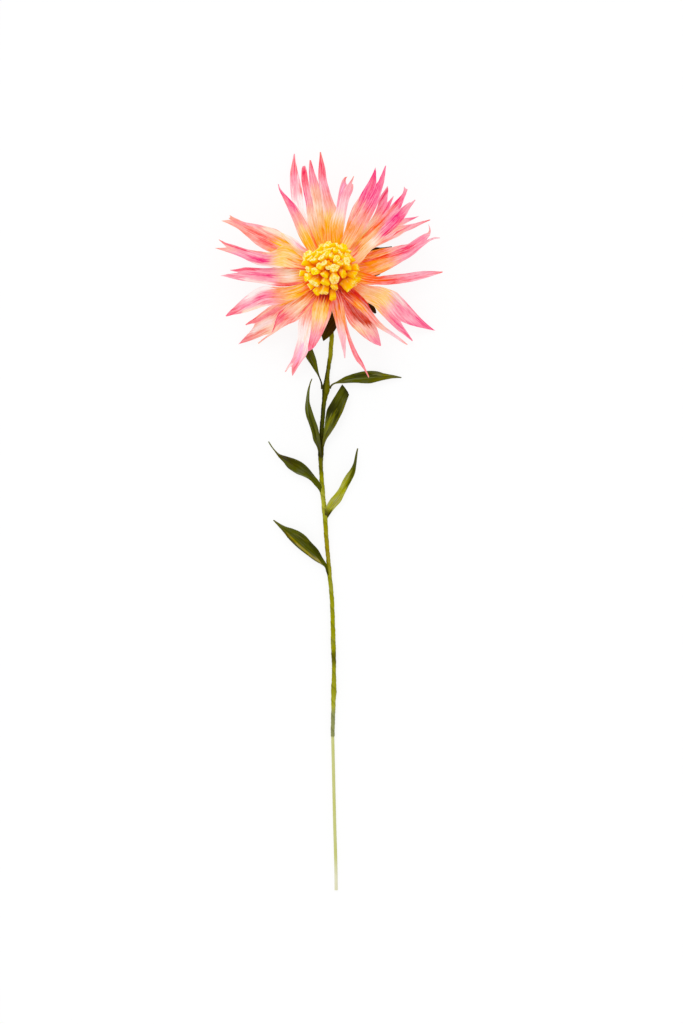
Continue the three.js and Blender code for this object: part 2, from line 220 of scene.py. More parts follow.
def crepe_grain():
    """The streaks, fibres and blotches that wet dye leaves along the grain of crepe."""
    group = bpy.data.node_groups.new("dyed crepe", "ShaderNodeTree")
    for label, kind in (("Dye", "Color"), ("Grain", "Vector"), ("Streaks", "Float"), ("Blotches", "Float")):
        group.interface.new_socket(label, in_out="INPUT", socket_type="NodeSocket" + kind)
    for label, kind in (("Color", "Color"), ("Roughness", "Float"), ("Height", "Float")):
        group.interface.new_socket(label, in_out="OUTPUT", socket_type="NodeSocket" + kind)
    given = group.nodes.new("NodeGroupInput").outputs
    result = group.nodes.new("NodeGroupOutput").inputs

    def noise(scale_across, scale_along, detail):
        stretch = group.nodes.new("ShaderNodeMapping")
        stretch.inputs["Scale"].default_value = (scale_across, scale_along, 1)
        group.links.new(given["Grain"], stretch.inputs["Vector"])
        cloud = group.nodes.new("ShaderNodeTexNoise")
        cloud.inputs["Scale"].default_value = 1
        cloud.inputs["Detail"].default_value = detail
        cloud.inputs["Roughness"].default_value = 0.6
        group.links.new(stretch.outputs["Vector"], cloud.inputs["Vector"])
        return cloud.outputs["Fac"]

    def reckoned(operation, *values):
        node = group.nodes.new("ShaderNodeMath")
        node.operation = operation
        for socket, value in zip(node.inputs, values):
            if isinstance(value, (int, float)):
                socket.default_value = value
            else:
                group.links.new(value, socket)
        return node.outputs["Value"]

    streak = noise(1.5, 0.05, 4)
    fibre = noise(6.0, 0.4, 3)
    blotch = noise(0.22, 0.12, 2)
    fibre_off = reckoned("SUBTRACT", fibre, 0.5)
    mixed = reckoned("MULTIPLY_ADD", fibre_off, 0.6, reckoned("SUBTRACT", streak, 0.5))
    streaked = reckoned("MULTIPLY", mixed, given["Streaks"])
    blotched = reckoned("MULTIPLY", reckoned("SUBTRACT", blotch, 0.5), given["Blotches"])
    tone = reckoned("ADD", streaked, blotched)
    tinted = group.nodes.new("ShaderNodeHueSaturation")
    group.links.new(given["Dye"], tinted.inputs["Color"])
    group.links.new(reckoned("MULTIPLY_ADD", tone, 1.0, 1.0), tinted.inputs["Saturation"])
    group.links.new(reckoned("MULTIPLY_ADD", tone, -0.28, 1.0), tinted.inputs["Value"])
    group.links.new(tinted.outputs["Color"], result["Color"])
    group.links.new(reckoned("MULTIPLY_ADD", fibre_off, 0.3, 0.74), result["Roughness"])
    group.links.new(reckoned("MULTIPLY_ADD", fibre, 0.5, streak), result["Height"])
    return group


CREPE_GRAIN = crepe_grain()


def crepe_paper(name, streaks, blotches, bump, sheen=0, shine=0.25, glow=0):
    """Paper with its dye brushed on, and how strongly its streaks, blotches and relief show."""
    paper = bpy.data.materials.new(name)
    paper.use_nodes = True
    nodes, links = paper.node_tree.nodes, paper.node_tree.links
    shader = nodes["Principled BSDF"]
    brush = nodes.new("ShaderNodeAttribute")
    brush.attribute_name = "dye"
    grain = nodes.new("ShaderNodeUVMap")
    grain.uv_map = "grain"
    fibres = nodes.new("ShaderNodeGroup")
    fibres.node_tree = CREPE_GRAIN
    fibres.inputs["Streaks"].default_value = streaks
    fibres.inputs["Blotches"].default_value = blotches
    relief = nodes.new("ShaderNodeBump")
    relief.inputs["Strength"].default_value = bump
    relief.inputs["Distance"].default_value = 0.2 * MM
    links.new(brush.outputs["Color"], fibres.inputs["Dye"])
    links.new(grain.outputs["UV"], fibres.inputs["Grain"])
    links.new(fibres.outputs["Color"], shader.inputs["Base Color"])
    # The paper gives off light in its own dye's colour: a painted glow for the light that comes through
    # thin paper, which lightens its shade.
    if glow:
        links.new(fibres.outputs["Color"], shader.inputs["Emission Color"])
        shader.inputs["Emission Strength"].default_value = glow
    links.new(fibres.outputs["Roughness"], shader.inputs["Roughness"])
    links.new(fibres.outputs["Height"], relief.inputs["Height"])
    links.new(relief.outputs["Normal"], shader.inputs["Normal"])
    shader.inputs["Specular IOR Level"].default_value = shine
    shader.inputs["Sheen Weight"].default_value = sheen
    return paper


WIRE_PAPER = crepe_paper("wire_paper", streaks=0.35, blotches=0.3, bump=0.3)

wire_line = [(1.5, -272, 0.95), (2, -295, 0.95), (2.7, -325, 0.95), (3.4, -350, 0.95), (3.6, -364.5, 0.95)]
wire_route = capped(drawn(wire_line, WIRE_STEPS))
steps = np.arange(len(wire_route))[:, None]
lanes = np.arange(WIRE_LANES)[None]
# The paper covering is slightly uneven.
wire_radius = WIRE_RADIUS + 0.02 * np.sin(steps * 0.9 + lanes * 1.7)
wire_radius[0] = wire_radius[-1] = 0
wire_paint = blended(wire_route[:, 1], {-356: "sand", -345: "straw"})
wire_paint = np.repeat(wire_paint[:, None], WIRE_LANES, axis=1)
wire = rolled_tube("stem_wire_wrapped", wire_route, wire_radius, wire_paint, cut=1)
wire.data.materials.append(WIRE_PAPER)
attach(wire, "root")
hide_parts("stem_wire")


# The core: a strip of orange crepe wound round the head of the wire, glued turn on turn.
# It widens from the neck to a drum that holds the feet of all the petals.
CORE_STEPS = 90
CORE_LANES = 64
CORE_FOOT = 9.6
CORE_TOP = 24.6
STRIP_RISE = 1.15
PALETTE |= {"orange": (254, 150, 66), "saffron": (252, 146, 4), "rust": (232, 92, 6)}
CORE_PAPER = crepe_paper("core_crepe", streaks=0.5, blotches=0.5, bump=0.6, sheen=0.05)

core_heights = np.linspace(CORE_FOOT, CORE_TOP, CORE_STEPS)
core_route = capped(np.c_[np.zeros(CORE_STEPS), np.zeros(CORE_STEPS), core_heights])
steps = np.arange(len(core_route))[:, None]
lanes = np.arange(CORE_LANES)[None]
core_profile = np.array([(CORE_FOOT, 2.4), (11, 5), (12.6, 9), (14.2, 12), (23.6, 12), (CORE_TOP, 10.8)])
core_radius = np.interp(core_route[:, 2], core_profile[:, 0], core_profile[:, 1])[:, None]
turns = core_route[:, 2][:, None] / STRIP_RISE + lanes / CORE_LANES
# A shallow groove runs round each turn of the strip, and the dye darkens towards its edge.
core_radius = core_radius - 0.25 * np.abs(np.sin(turns * math.pi)) + 0.05 * np.sin(lanes * 2.9 + steps)
core_radius[0] = core_radius[-1] = 0
core_paint = blended(turns % 1, {0: "saffron", 0.5: "orange", 1: "rust"})
core = rolled_tube("core_wound_strip", core_route, core_radius, core_paint, cut=2)
core.data.materials.append(CORE_PAPER)
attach(core, "root")
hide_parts("flower_core")


# The disc: a domed pad of orange crepe on top of the core, packed with rolled yellow florets.
# Each floret is a strip rolled into a blunt tube with a soft lemon end, which on some florets has a painted
# highlight, glued in at its own lean.
PAD_STEPS = 40
PAD_LANES = 64
PAD_FOOT = 24.9
PAD_RISE = 6.2
PAD_RADIUS = 13.2
DISC_RADIUS = 18
DISC_CROWN = 35.2
DISC_DOME = 6.6
FLORET_LENGTH = 6.5
FLORET_CUT = np.array([17.3, 5.1])
# Outlines are drawn as they look from above, and are true at this height.
OUTLINE_HEIGHT = 14
# Of these, maroon and scarlet serve only as painted shade, under the disc and between its rolls, and butter
# only as a painted highlight.
PALETTE |= {
    "shade_scarlet": (222, 62, 34), "shade_maroon": (168, 40, 20), "marigold": (254, 186, 0),
    "sunflower": (255, 206, 4), "lemon": (255, 224, 18), "highlight_butter": (255, 250, 184),
}
# The disc's paper gives off light: a painted glow for the light through thin crepe, which lightens the
# shade between the rolls.
DISC_GLOW = 0.5
DISC_PAPER = crepe_paper("disc_crepe", streaks=0.06, blotches=0.04, bump=0.8, shine=0, glow=DISC_GLOW)

pad_places = np.linspace(0, 1, PAD_STEPS)
pad_heights = PAD_FOOT + PAD_RISE * np.sin(pad_places * math.pi / 2)
pad_route = capped(np.c_[np.zeros(PAD_STEPS), np.zeros(PAD_STEPS), pad_heights])
pad_route[-1, 2] += 0.05
steps = np.arange(len(pad_route))[:, None]
lanes = np.arange(PAD_LANES)[None]
pad_radius = np.r_[[0], PAD_RADIUS * np.cos(pad_places * math.pi / 2) + 0.01, [0]][:, None]
pad_radius = pad_radius * (1 + 0.02 * np.sin(lanes * 1.7 + steps * 0.6))
pad_turn = lanes / PAD_LANES * 2 * math.pi + steps * 0
# Its dye runs from marigold on its upper side, towards the lamp, to dark red on its lower side: painted
# shade.
pad_paint_with_shade = blended(np.sin(pad_turn), {-1: "shade_maroon", -0.3: "shade_scarlet", 0.4: "saffron", 1: "marigold"})
pad_paint_with_shade = pad_paint_with_shade * (0.85 + 0.15 * np.sin(lanes * 2.2)[..., None])
pad = rolled_tube("disc_pad", pad_route, pad_radius, pad_paint_with_shade, cut=3)
pad.data.materials.append(DISC_PAPER)
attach(pad, "root")
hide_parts("disc_florets")

# One roll of paper, one unit wide and long, that every floret is shaped from.
bpy.ops.object.select_all(action="DESELECT")
bpy.ops.mesh.primitive_cylinder_add(vertices=14, radius=0.5, depth=1, location=(0, 0, -0.5))
roll = bpy.context.object
roll.name = "floret_roll"
bpy.ops.object.transform_apply(location=True)
bpy.ops.object.mode_set(mode="EDIT")
bpy.ops.mesh.select_mode(type="EDGE")
bpy.ops.mesh.select_all(action="DESELECT")
shape = bmesh.from_edit_mesh(roll.data)
for edge in shape.edges:
    edge.select_set(abs(edge.verts[0].co.z - edge.verts[1].co.z) > 0.5)
bmesh.update_edit_mesh(roll.data)
bpy.ops.mesh.subdivide(number_cuts=6)
bpy.ops.mesh.select_mode(type="FACE")
bpy.ops.mesh.select_all(action="DESELECT")
shape = bmesh.from_edit_mesh(roll.data)
for face in shape.faces:
    face.select_set(face.normal.z > 0.9)
bmesh.update_edit_mesh(roll.data)
for inward, up in ((0.02, 0.004), (0.07, 0.03), (0.12, -0.03), (0.1, 0.03), (0.08, -0.02)):
    bpy.ops.mesh.inset(thickness=inward, depth=0)
    bpy.ops.transform.translate(value=(0, 0, up))
bpy.ops.object.mode_set(mode="OBJECT")
rounding = roll.modifiers.new("rounding", "SUBSURF")
rounding.levels = 1
rounding.render_levels = 1
bpy.ops.object.modifier_apply(modifier="rounding")
roll_x, roll_y, roll_z = spots_of(roll).T


def ease(share):
    """A share from nought to one, eased in and out."""
    share = np.clip(share, 0, 1)
    return share * share * (3 - 2 * share)


def stained(paint, stain, cover):
    """The paint with another dye laid over it, in the share that covers each place."""
    return paint + np.asarray(cover)[..., None] * (dye(stain) - paint)


def sighted(places, height):
    """Places seen from above, moved to where they really are: what lies low is a little
    further out from under the eye than it looks, and what stands high a little further in."""
    below = np.array([camera.location.x - HEAD_X, camera.location.y - HEAD_Y]) / MM
    away = camera.location.z / MM
    return below + (places - below) * np.expand_dims((away - height) / (away - OUTLINE_HEIGHT), -1)


# Where each floret's end and foot are across the disc, and its width.
florets = [
    (-6.6, 12.4, -3, 8.4, 4), (-4.4, 14.2, -2, 9.8, 4), (-1.4, 15.2, -0.6, 10.2, 4.4), (1.4, 15, 1, 9.8, 4),
    (4.8, 14.2, 3.4, 9.4, 4.2), (7.8, 13.6, 5.4, 9, 4.4), (10, 11.6, 7.2, 7.6, 4.2),
    (-9.4, 10.2, -6, 6.6, 3.8), (-12.6, 9.8, -8.6, 6, 4.6), (-14.8, 7.6, -10, 4.6, 4.4),
    (-15.4, 4.7, -10.5, 2.4, 4), (-9.8, 6.8, -7.4, 3.4, 4.6), (-1.8, 9.6, -1.2, 6, 4),
    (-4.8, 7.8, -3.8, 4.8, 4.6), (1.4, 8.6, 1, 5, 4), (3.9, 6.8, 2.6, 3.6, 3.7), (6.2, 4.4, 4.2, 2, 4),
    (7.6, 8.4, 5.4, 5.2, 4.6), (9.9, 5.2, 6.8, 3, 4.6), (13, 6.8, 9.4, 4.4, 3.6),
    (-3.4, 4.3, -2.6, 1.6, 3.7), (-6.2, 2.5, -4, 0.4, 3.9), (16, 1.6, 10.8, 1.2, 4.6),
    (14.8, -3, 10.2, -1.8, 4.8), (16, -6.4, 11.4, -4, 4.4), (2.6, 1.4, 1.2, -1.4, 4.6),
    (-3.4, -3.3, -1.8, -1, 4.1), (-0.6, 1.2, -2.8, 3.2, 3.4), (-9, -0.8, -5.6, -0.2, 4.4),
    (-13, 0.3, -8.8, 0.9, 3.8), (-17.2, -2, -12, -1.6, 3.2), (-13.8, -4.4, -9.2, -2.8, 4),
    (-9.4, -7.8, -6, -4.4, 5.6), (-3, -7.8, -2, -4.4, 4.8), (2.6, -5.6, 1.6, -2.4, 5.2),
    (8, -2.7, 5.8, -0.6, 4.2), (11.8, -10.6, 7.2, -6.4, 6.4), (2.4, -10.3, 1.8, -6.8, 4.1),
    (1.8, -16.4, 1.2, -11.4, 3.6), (-3.7, -13.2, -2.6, -9.2, 4.6), (-8.4, -13.2, -5.6, -9.2, 4.3),
    (14, -8, 9.8, -5.2, 4.2), (11.6, 1.6, 7.4, 1, 3.8), (-11.8, -9.8, -8, -6.2, 3.4),
    (-5.6, 11, -4.2, 8, 3.6), (-2.8, 12.3, -2.2, 8.8, 3.8), (0.2, 12.4, 0, 8.8, 3.8),
    (3.2, 11.8, 2.4, 8.2, 3.6), (6.2, 11.2, 4.8, 7.6, 3.8), (-8, 9, -6, 6, 3.4), (-11.6, 7, -8.8, 4.4, 3.8),
    (10.4, 8.6, 7.6, 6, 3.6),
]
# Its dye along its length: lemon at its end, and painted shade darkening it to dark red towards its foot,
# between the rolls.
floret_dye_and_painted_shade = {
    -1: "shade_maroon", -0.68: "rust", -0.42: "saffron", -0.24: "marigold", -0.1: "sunflower", 0: "lemon",
}
turn = np.arctan2(roll_y, roll_x)
far = np.hypot(roll_x, roll_y)
bow = 0.5 * np.sin(-roll_z * math.pi)
open_end = ease((roll_z + 0.06) * 14) * ease(far * 5)
for number, (end_x, end_y, foot_x, foot_y, width) in enumerate(florets, 1):
    bpy.ops.object.select_all(action="DESELECT")
    floret = bpy.data.objects.new(f"disc_floret_{number:02d}", roll.data.copy())
    bpy.context.scene.collection.objects.link(floret)
    floret.select_set(True)
    bpy.context.view_layer.objects.active = floret

    # Its lean: the outer florets are shorter and stand lower.
    out = math.hypot(end_x, end_y) / DISC_RADIUS
    end_height = DISC_CROWN - DISC_DOME * out**2 + 0.7 * math.sin(number * 2.4)
    foot_height = end_height - FLORET_LENGTH + 4.8 * out
    end_place = np.append(sighted(np.array([end_x, end_y]) * 1.02, end_height), end_height)
    foot_place = np.append(sighted(np.array([foot_x, foot_y]), foot_height), foot_height)
    axis = end_place - foot_place
    length = np.linalg.norm(axis)
    axis = axis / length
    side = np.cross(axis, [0.3, 0.2, 1.0])
    side = side / np.linalg.norm(side)
    front = np.cross(side, axis)

    # Its shape: a slanting, lumpy and slightly flattened roll.
    slant = 0.3 * far * np.cos(turn - number * 1.9) * ease(1 + roll_z * 1.2)
    along = roll_z + slant + 0.05 * np.sin(5 * turn + number) * ease(1 + roll_z * 2)
    lump = 1.06 + 0.1 * np.cos(4 * turn + number) * math.sin(number * 0.9) ** 2
    lump = lump + 0.09 * np.sin(2 * turn + number) + 0.07 * np.sin(3 * turn + 4 * along + 2 * number)
    lump = lump * (1 + 0.12 * ease(1 + roll_z * 1.6) - 0.1 * ease(-along))
    crumple = 0.035 * np.sin(7 * turn + 9 * along + number) + 0.035 * np.sin(11 * along + 2 * turn + number)
    wide = width * 0.95 * (lump + crumple)
    flat = wide * (0.8 + 0.16 * math.sin(number * 1.3))
    spots = foot_place + axis * ((1 + along) * length)[:, None]
    spots = spots + side * (roll_x * wide)[:, None] + front * (roll_y * flat + bow)[:, None]

    # Its dye, with painted light: painted shade darkens it towards its foot between the rolls, on the side
    # of the disc away from the lamp and on its undersides, and painted highlights lighten its upper edges
    # and some of its ends.
    outward = side * (2 * roll_x)[:, None] + front * (2 * roll_y)[:, None] + axis * open_end[:, None]
    upper = outward @ np.array([-0.45, 0.62, 0.64])
    away_from_lamp = ease((12 + end_x - end_y) / 28)
    speckle = np.sin(5 * turn + 3 * number) * np.sin(17 * far + number)
    speckle = speckle + 0.6 * np.sin(9 * turn - 2 * number) * np.sin(13 * along + 2 * number)
    painted_light = ease(5 * upper - 4.3 + 1.3 * speckle) * (1 - 0.7 * away_from_lamp) * (0.8 + 0.2 * math.sin(number * 5.1))
    end_highlight_strength = 0.55 + 0.45 * math.sin(number * 2.7 + 1)
    painted_end_highlight = open_end * ease(3 * end_highlight_strength - 1.95 + 1.4 * speckle) * (1 - 0.6 * away_from_lamp)
    paint = blended(roll_z * (1.5 - 0.8 * out) * (0.85 + 0.45 * away_from_lamp), floret_dye_and_painted_shade)
    paint = stained(paint, "marigold", 0.55 * away_from_lamp)
    paint = stained(paint, "saffron", 0.9 * ease(-upper * 1.1 + 0.05))
    paint = stained(paint, "highlight_butter", 0.85 * painted_light)
    paint = stained(paint, "highlight_butter", painted_end_highlight)

    grain = np.c_[turn * width / 2, along * length] + FLORET_CUT * number
    painted(floret, spots, paint, grain, DISC_GLOW)
    bpy.ops.object.shade_smooth_by_angle(angle=CREASE)
    floret.data.materials.append(DISC_PAPER)
    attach(floret, "root")
    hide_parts("disc_florets")
bpy.data.objects.remove(roll)


# The petals: twenty-seven pieces cut from crepe paper with the grain along them, brushed with dye.
# Each is gathered at its foot, glued round the core in layers, arched outwards and cupped by hand.
# Their edges run from foot to tip, left and right as seen looking outwards from the core.
CORE_RIM = 12.3
PETAL_STEPS = 76
LANES_TO_A_MM = 5
FEWEST_LANES = 26
MOST_LANES = 78
PETAL_THICKNESS = 0.28
# The lowest layer's foot and tip, and how much higher each layer's are than those of the one below.
LOWEST_FOOT = 14.2
FOOT_RISE = 3.1
LOWEST_TIP = 4.5
TIP_RISE = 8
PETAL_ARCH = 12
RIB_DEPTH = 0.075
TABLE_GAP = 0.35
SHEET_CREASE = math.radians(60)
# The petals' paper gives off light: a painted glow for the light through thin crepe, which lightens the
# shade between the petals.
PAPER_GLOW = 0.34
# Brick and rust red serve only as painted shadow.
PALETTE |= {
    "yellow": (255, 208, 66), "gold": (254, 188, 46), "amber": (255, 186, 92), "honey": (255, 210, 124),
    "tangerine": (255, 160, 16), "apricot": (253, 166, 112), "flame": (254, 102, 34), "red": (240, 72, 60),
    "shadow_brick": (226, 96, 82), "shadow_rust_red": (196, 66, 44), "ruby": (220, 52, 50), "peach": (254, 202, 150),
    "cream": (254, 224, 200), "blush": (254, 226, 220), "white": (254, 243, 240),
    "pale_pink": (253, 200, 206), "pink": (252, 160, 178), "lilac": (250, 168, 204),
    "shell": (253, 192, 168), "melon": (253, 166, 156), "powder": (252, 182, 192),
    "salmon": (252, 150, 136), "blossom": (251, 128, 142), "coral": (251, 120, 116),
    "rose": (252, 120, 158), "magenta": (250, 84, 136), "crimson": (248, 90, 118),
    "butter_cream": (254, 226, 178),
}
PETAL_PAPER = crepe_paper(
    "petal_crepe", streaks=1.2, blotches=0.5, bump=0.6, sheen=0.03, shine=0.08, glow=PAPER_GLOW
)


def relaxed(sheet, rounds):
    """Evens out the grid of a sheet between its cut edges, which stay put."""
    sheet = sheet.copy()
    for _ in range(rounds):
        down = (sheet[2:, 1:-1] - sheet[:-2, 1:-1]) / 2
        over = (sheet[1:-1, 2:] - sheet[1:-1, :-2]) / 2
        corner = (sheet[2:, 2:] - sheet[2:, :-2] - sheet[:-2, 2:] + sheet[:-2, :-2]) / 4
        a = (over**2).sum(-1, keepdims=True)
        b = (down * over).sum(-1, keepdims=True)
        c = (down**2).sum(-1, keepdims=True)
        rows = a * (sheet[2:, 1:-1] + sheet[:-2, 1:-1])
        lanes = c * (sheet[1:-1, 2:] + sheet[1:-1, :-2])
        sheet[1:-1, 1:-1] = (rows + lanes - 2 * b * corner) / (2 * (a + c) + 1e-12)
    return sheet


def cut_sheet(left, right, end, lanes, steps, rounds=0):
    """Lays out a piece of crepe between its two long edges and across its end."""
    left = drawn(left, steps + 1)
    right = drawn(right, steps + 1)
    tip = np.array([left[-1], *end, right[-1]], float)
    reached = np.r_[0, np.cumsum(np.hypot(*np.diff(tip, axis=0).T))]
    at = np.linspace(0, reached[-1], lanes + 1)
    tip = np.c_[np.interp(at, reached, tip[:, 0]), np.interp(at, reached, tip[:, 1])]
    along = np.linspace(0, 1, steps + 1)[:, None, None]
    over = np.linspace(0, 1, lanes + 1)[None, :, None]
    sheet = (1 - over) * left[:, None] + over * right[:, None]
    sheet = sheet + along**2 * (tip - (1 - over[0]) * tip[0] - over[0] * tip[-1])
    return relaxed(sheet, rounds)


def grain_of(sheet):
    """How far each place lies across the grain, from the middle lane, and along it."""
    lanes = sheet.shape[1] - 1
    width = np.hypot(*(sheet[:, -1] - sheet[:, 0]).T)[:, None]
    across = (np.linspace(0, 1, lanes + 1)[None] - 0.5) * width
    run = np.r_[0, np.cumsum(np.hypot(*np.diff(sheet[:, lanes // 2], axis=0).T))]
    return across, np.repeat(run[:, None], lanes + 1, axis=1)


def stroke_cover(places, width, line):
    """How much a soft brush of this half width leaves at each place when drawn along the line."""
    x, y = places[..., 0], places[..., 1]
    nearest = np.full(x.shape, np.inf)
    for (ax, ay), (bx, by) in zip(line[:-1], line[1:]):
        length = (bx - ax) ** 2 + (by - ay) ** 2
        share = np.clip(((x - ax) * (bx - ax) + (y - ay) * (by - ay)) / length, 0, 1)
        nearest = np.minimum(nearest, np.hypot(x - ax - share * (bx - ax), y - ay - share * (by - ay)))
    return ease(1.25 - nearest / width)


def brushed(paint, places, strokes):
    """The paint after the strokes: each has its dye, its strength, its half width and its line."""
    for stain, strength, width, line in strokes:
        paint = stained(paint, stain, strength * stroke_cover(places, width, line))
    return paint


def ribs(across, run, seed, depth):
    """The fine uneven ribs that run along crepe, up and down."""
    shape = 0
    for wave, share, turn in ((0.66, 0.2, 1.3), (0.91, 0.34, 4.1), (1.37, 0.42, 2.6), (2.3, 0.5, 5.9)):
        wander = 0.9 * np.sin(run / (5.1 + wave) + turn * 2 + seed)
        shape = shape + share * np.sin(2 * math.pi * across / wave + turn * (seed + 1) + wander)
    return depth * shape


def bled(sheet, across, seed, reach):
    """Where each place takes its dye from: wet dye runs unevenly along the grain."""
    pull = np.gradient(sheet, axis=0)
    pull = pull / (np.hypot(pull[..., 0], pull[..., 1])[..., None] + 1e-9)
    run = 1.3 * np.sin(across * 3.9 + seed) + 0.9 * np.sin(across * 7.3 + 2 * seed)
    run = run + 0.6 * np.sin(across * 13.1 + 3 * seed)
    return sheet + reach * run[..., None] * pull


def crepe_sheet(name, sheet, height, paint, across, run, cut, thickness, glow=0):
    """Makes a laid-out sheet of crepe, with its relief, its two faces and its dye."""
    sheet = sighted(sheet, height)
    piece, step, lane = laid_grid(name, sheet.shape[1] - 1, sheet.shape[0] - 1)
    spots = np.c_[sheet[step, lane], height[step, lane]]
    grain = np.c_[across[step, lane], run[step, lane]] + NEXT_CUT * cut
    painted(piece, spots, paint[step, lane], grain, glow)
    wall = piece.modifiers.new("two faces", "SOLIDIFY")
    wall.thickness = thickness * MM
    wall.offset = 0
    bpy.ops.object.modifier_apply(modifier="two faces")
    bpy.ops.object.shade_smooth_by_angle(angle=SHEET_CREASE)
    return piece


def petal(
    number, left, right, level, reach, ground, strokes,
    end=(), tip=None, cup=0, lean=0, painted_light=0, folds=(), rounds=0,
):
    """One petal: level is its layer in the head, reach is how far its tip is from the axis, and
    tip is the height of that where its layer doesn't give it. cup lifts its edges, and lean tips
    it to one side. ground is its dye by distance from the axis, and strokes lie over it; painted_light
    lightens it towards its foot, painted light against the shade of the petals over it. folds are
    creases pressed in the paper: how far they rise, their half width and their line. rounds evens
    out a petal whose edges bend sharply."""
    width = max(np.hypot(*(drawn(left, 30) - drawn(right, 30)).T))
    lanes = int(np.clip(width * LANES_TO_A_MM, FEWEST_LANES, MOST_LANES))
    sheet = cut_sheet(left, right, end, lanes, PETAL_STEPS, rounds)
    across, run = grain_of(sheet)
    side = np.linspace(-1, 1, lanes + 1)[None]
    half = np.hypot(*(sheet[:, -1] - sheet[:, 0]).T)[:, None] / 2
    far = np.hypot(sheet[..., 0], sheet[..., 1])
    share = np.clip((far - CORE_RIM) / (reach - CORE_RIM), 0, 1.03)
    # It arches from the core down to its tip, and is cupped and leans to one side.
    foot_height = LOWEST_FOOT + FOOT_RISE * level
    tip_height = LOWEST_TIP + TIP_RISE * level if tip is None else tip
    height = foot_height + (tip_height - foot_height) * share + PETAL_ARCH * share * (1 - share)
    height = height + half * (cup * side**2 - lean * side) * np.minimum(1, 3 * share)
    # The paper has fine ribs, ruffled edges, slow swells and folds.
    height = height + ribs(across, run, number, RIB_DEPTH) * ease((far - 13) / 6)
    height = height + 0.35 * side**2 * np.sin(run / 3.1 + 2 * number + 1.7 * side) * ease((share - 0.1) * 3)
    height = height + 0.25 * np.sin(run / 7.3 + number * 1.9) * np.sin(1.4 * side + number)
    for rise, wide, line in folds:
        height = height + rise * stroke_cover(sheet, wide, line)
    height = np.maximum(height, TABLE_GAP)
    # The dye is brushed on wet. It is painted lighter towards the foot, painted light against the shade of
    # the petals over it, and is stained flame at its edges near the foot, painted shade between the petals
    # there.
    wet = bled(sheet, across, number, 1)
    paint = brushed(blended(np.hypot(wet[..., 0], wet[..., 1]), ground), wet, strokes)
    paint = paint * (1 + painted_light * (1 - np.clip(share, 0, 1)))[..., None]
    painted_edge_shade = 0.55 * ease((np.abs(side) - 0.7) / 0.25) * ease((25 - far) / 8)
    paint = stained(paint, "flame", painted_edge_shade)
    name = f"petal_{number:02d}_crepe"
    piece = crepe_sheet(name, sheet, height, paint, across, run, number, PETAL_THICKNESS, PAPER_GLOW)
    piece.data.materials.append(PETAL_PAPER)
    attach(piece, "root")
    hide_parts(f"petal_{number:02d}")


# They go clockwise round the head from its upper left, and the last is a short one beside the first.
petal(
    1, level=2.3, reach=58.5, cup=0.2, lean=0.1,
    left=[
        (-9.9, 7.8), (-14.8, 14), (-18.6, 21), (-21.6, 29), (-24.9, 36.4), (-27.6, 42.3), (-29.6, 46.8),
        (-30.4, 50.3),
    ],
    right=[
        (-6.3, 10.8), (-8.4, 17), (-11.2, 23), (-15, 29.8), (-19, 36.6), (-23.4, 41.4), (-27.2, 45.2),
        (-29.2, 47.8), (-30, 50.2),
    ],
    ground={
        21: "gold", 26: "amber", 30: "shell", 35: "melon", 42: "pink", 48: "blossom", 54: "rose",
        58: "pink",
    },
    strokes=[
        ("magenta", 0.8, 1.7, [(-20.6, 35.6), (-23, 40.2), (-25, 43)]),
        ("rose", 0.5, 1.4, [(-22, 41), (-24.6, 45), (-28, 49)]),
        ("salmon", 0.6, 2, [(-14.6, 27), (-17.6, 32)]),
        ("flame", 0.9, 0.9, [(-7.8, 13.4), (-9.8, 18.6), (-11.6, 24)]),
        ("honey", 0.7, 1.5, [(-13.8, 18), (-17.2, 26)]),
        ("peach", 0.8, 0.8, [(-16, 18.6), (-18.4, 25)]),
    ],
)
petal(
    2, level=0.3, reach=71, tip=0.3, cup=0.1, painted_light=0.18,
    left=[
        (-8.6, 9), (-14, 23), (-19.5, 34.5), (-22.3, 41), (-23.2, 49), (-23.4, 55.5), (-22.7, 60.2),
        (-21.8, 64), (-21.1, 68),
    ],
    right=[
        (-5.6, 11.2), (-9.5, 21), (-13.3, 30), (-15.6, 37), (-16, 42), (-16.4, 47), (-17.3, 51),
        (-18.4, 55.5), (-19.4, 60), (-20.3, 64.5), (-20.7, 68),
    ],
    ground={
        18: "gold", 21: "orange", 24: "apricot", 27: "shell", 29.5: "blush", 33: "white", 45: "white",
        49: "pale_pink", 53: "powder", 57: "pink", 61: "blossom", 67: "coral", 71: "pink",
    },
    strokes=[
        ("rose", 0.4, 1, [(-21.2, 65), (-21.3, 58), (-21, 53)]),
        ("pink", 0.5, 1, [(-21.4, 52), (-20.6, 44), (-19, 39)]),
        ("white", 0.5, 0.5, [(-22, 44), (-21.6, 49)]),
        ("coral", 0.8, 0.8, [(-16.9, 44.5), (-17, 49.4)]),
        ("white", 0.8, 1.5, [(-14, 33), (-15.6, 38)]),
        ("white", 0.6, 0.6, [(-18.6, 50), (-18.8, 55)]),
        ("salmon", 0.3, 0.7, [(-13.6, 26), (-15, 30)]),
    ],
)
